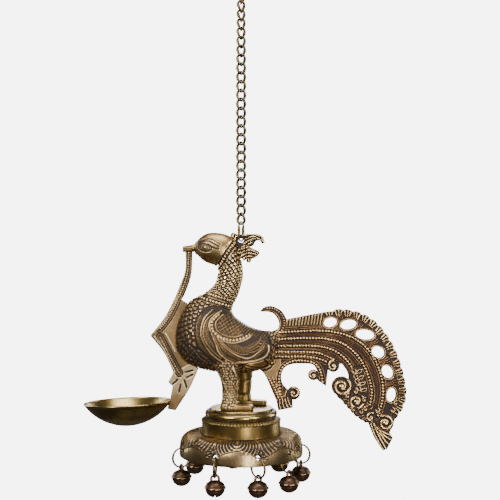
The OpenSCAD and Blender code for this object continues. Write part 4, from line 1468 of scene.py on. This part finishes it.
def bell_cast(low, high):
    """Two caps that meet at a rolled seam, cut by a slot with round ends, and the lug on top."""
    height, wall, slot = 13.6, 0.9, 1.8
    r = 8.8 - 0.7           # inside the rolled seam
    up, down = 0.42 * height, 0.58 * height
    columns = 96
    a = full_turn(columns) + np.pi / columns

    def turn(radius, z):
        return np.stack([radius[:, None] * np.cos(a), radius[:, None] * np.sin(a),
                         np.repeat(z[:, None], columns, 1)], -1)

    radius, z = bell_outline(r, up, down)
    seam = bump(z, 0.8)
    dent = bump(np.abs(z - 0.1) - 1.7, 0.5)
    front = turn(radius + 0.7 * seam - 0.18 * dent, z)
    back = turn(*bell_outline(r - wall, up - wall, down - wall))
    d = bell_slot(front, slot)
    left = np.roll(d, -1, 1)
    keep = close_corners((d[:-1] + d[1:] + left[:-1] + left[1:]) / 4 > 0, True)
    points, faces, used = round_shell(front, back, keep)
    wear_and_light = 0.46 + 0.45 * seam[:, None] - 0.34 * dent[:, None] - 0.2 * smooth(-front[..., 2], 2, 7)
    lug, lug_faces = bell_lug(high)
    points, faces = join([(points + [0, 0, low + down], faces.tolist()), (lug, lug_faces)])
    return points, faces, np.concatenate([round_worn(wear_and_light, 0.1, used), np.full(len(lug), 0.6)])


def bells():
    r, wire = 8, 1.4
    t = full_turn(72)
    swell = 0.3 * np.cos(t) ** 2
    circle = np.stack([(r - swell) * np.cos(t), np.zeros(len(t)), (r - swell) * np.sin(t)], 1)
    for k in range(1, len(BELL_ANGLES) + 1):
        ring = "bell_ring_%d" % k
        node = "bell_%d" % k
        points, faces = tube(circle, wire / 2 + swell, 12, closed=True)
        points = bell_place(k, points + [0, 0, middle(ring)[2]])
        make("ring_wire_%d" % k, points, faces, ring, [ring], WIRE)
        low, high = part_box(node)
        points, faces, wear_and_light = bell_cast(lamp_mm(low)[2], lamp_mm(high)[2])
        make("bell_%d_cast" % k, bell_place(k, points), faces, node, [node], BELL, wear_and_light)


def kept_nodes():
    """The nut and the pellets keep their CAD shapes and take a finish."""
    for name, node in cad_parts.items():
        if name == "base_nut" or name.startswith("bell_pellet"):
            node.data.materials.clear()
            node.data.materials.append(WIRE if name == "base_nut" else IRON)


# ---------------------------------------------------------------- studio

def emitter(name, colour, strength):
    material = bpy.data.materials.new(name)
    material.use_nodes = True
    nodes = material.node_tree.nodes
    nodes.clear()
    light = nodes.new("ShaderNodeEmission")
    light.inputs["Color"].default_value = (*colour, 1)
    light.inputs["Strength"].default_value = strength
    out = nodes.new("ShaderNodeOutputMaterial")
    material.node_tree.links.new(light.outputs[0], out.inputs["Surface"])
    return material


def paper(name, colour, glow):
    """Matt paper that is lit from below a little, as on a light table."""
    material = bpy.data.materials.new(name)
    material.use_nodes = True
    shader = material.node_tree.nodes["Principled BSDF"]
    shader.inputs["Base Color"].default_value = (*colour, 1)
    shader.inputs["Roughness"].default_value = 0.9
    shader.inputs["Emission Color"].default_value = (*colour, 1)
    shader.inputs["Emission Strength"].default_value = glow
    return material


def stage_piece(name, points, faces, material):
    mesh = bpy.data.meshes.new(name)
    mesh.from_pydata([tuple(p) for p in points], [], faces)
    mesh.materials.append(material)
    thing = bpy.data.objects.new(name, mesh)
    bpy.context.collection.objects.link(thing)
    return thing


def area(name, at, aim, wide, tall, power, colour):
    data = bpy.data.lights.new(name, "AREA")
    data.energy = power
    data.color = colour
    data.shape = "RECTANGLE"
    data.size = wide
    data.size_y = tall
    light = bpy.data.objects.new(name, data)
    bpy.context.collection.objects.link(light)
    light.location = at
    light.rotation_euler = (Vector(aim) - Vector(at)).to_track_quat("-Z", "Y").to_euler()


def backdrop(reach, steps=72):
    """A pale floor, and round it a white backdrop that only the camera sees."""
    floor_z, top = RIM_Z - 0.62, 2.2
    around = [(reach * math.cos(a), reach * math.sin(a)) for a in full_turn(steps)]
    floor = stage_piece("floor", [(x, y, floor_z) for x, y in around], [list(range(steps))],
                        paper("floor_paper", (0.8, 0.79, 0.77), 1.1))
    floor.visible_glossy = False
    wall = stage_piece("backdrop", [(x, y, z) for z in (floor_z, top) for x, y in around],
                       [(i, (i + 1) % steps, steps + (i + 1) % steps, steps + i) for i in range(steps)],
                       emitter("backdrop_white", (1, 1, 1), 6.5))
    wall.visible_diffuse = wall.visible_glossy = wall.visible_shadow = False


def studio():
    backdrop(1.9)
    world = bpy.data.worlds.new("world")
    world.use_nodes = True
    world.node_tree.nodes["Background"].inputs["Color"].default_value = (0.92, 0.90, 0.88, 1)
    world.node_tree.nodes["Background"].inputs["Strength"].default_value = 0.07
    bpy.context.scene.world = world
    warm, green = (1, 0.97, 0.93), (0.97, 1, 0.86)
    # name, place over the rim's middle, width, height, power and colour
    for name, at, wide, tall, power, colour in (
            ("key", (-0.75, -1.1, 0.75), 0.5, 0.7, 26, (1, 0.98, 0.95)),
            ("fill", (0.95, -0.9, 0.45), 0.35, 0.9, 11, warm),
            ("top", (0.05, -0.1, 1.15), 0.6, 0.6, 16, (1, 1, 1)),
            ("strip", (0.42, -1.22, -0.05), 0.16, 1.0, 10, warm),
            ("behind", (0.1, 1.25, 0.5), 0.5, 0.4, 5, (1, 0.97, 0.92)),
            ("rim_left", (-1.0, 0.6, 0.35), 0.2, 0.9, 8, green),
            ("rim_right", (1.0, 0.6, 0.25), 0.2, 0.9, 8, green)):
        area(name, (at[0], at[1], RIM_Z + at[2]), (0, 0, RIM_Z + 0.11), wide, tall, power, colour)


bird_body()
bird_head()
bird_legs()
crest()
tail()
stem()
bowl()
plinth()
skirt()
hook()
chain()
crest_ring()
bells()
kept_nodes()
studio()
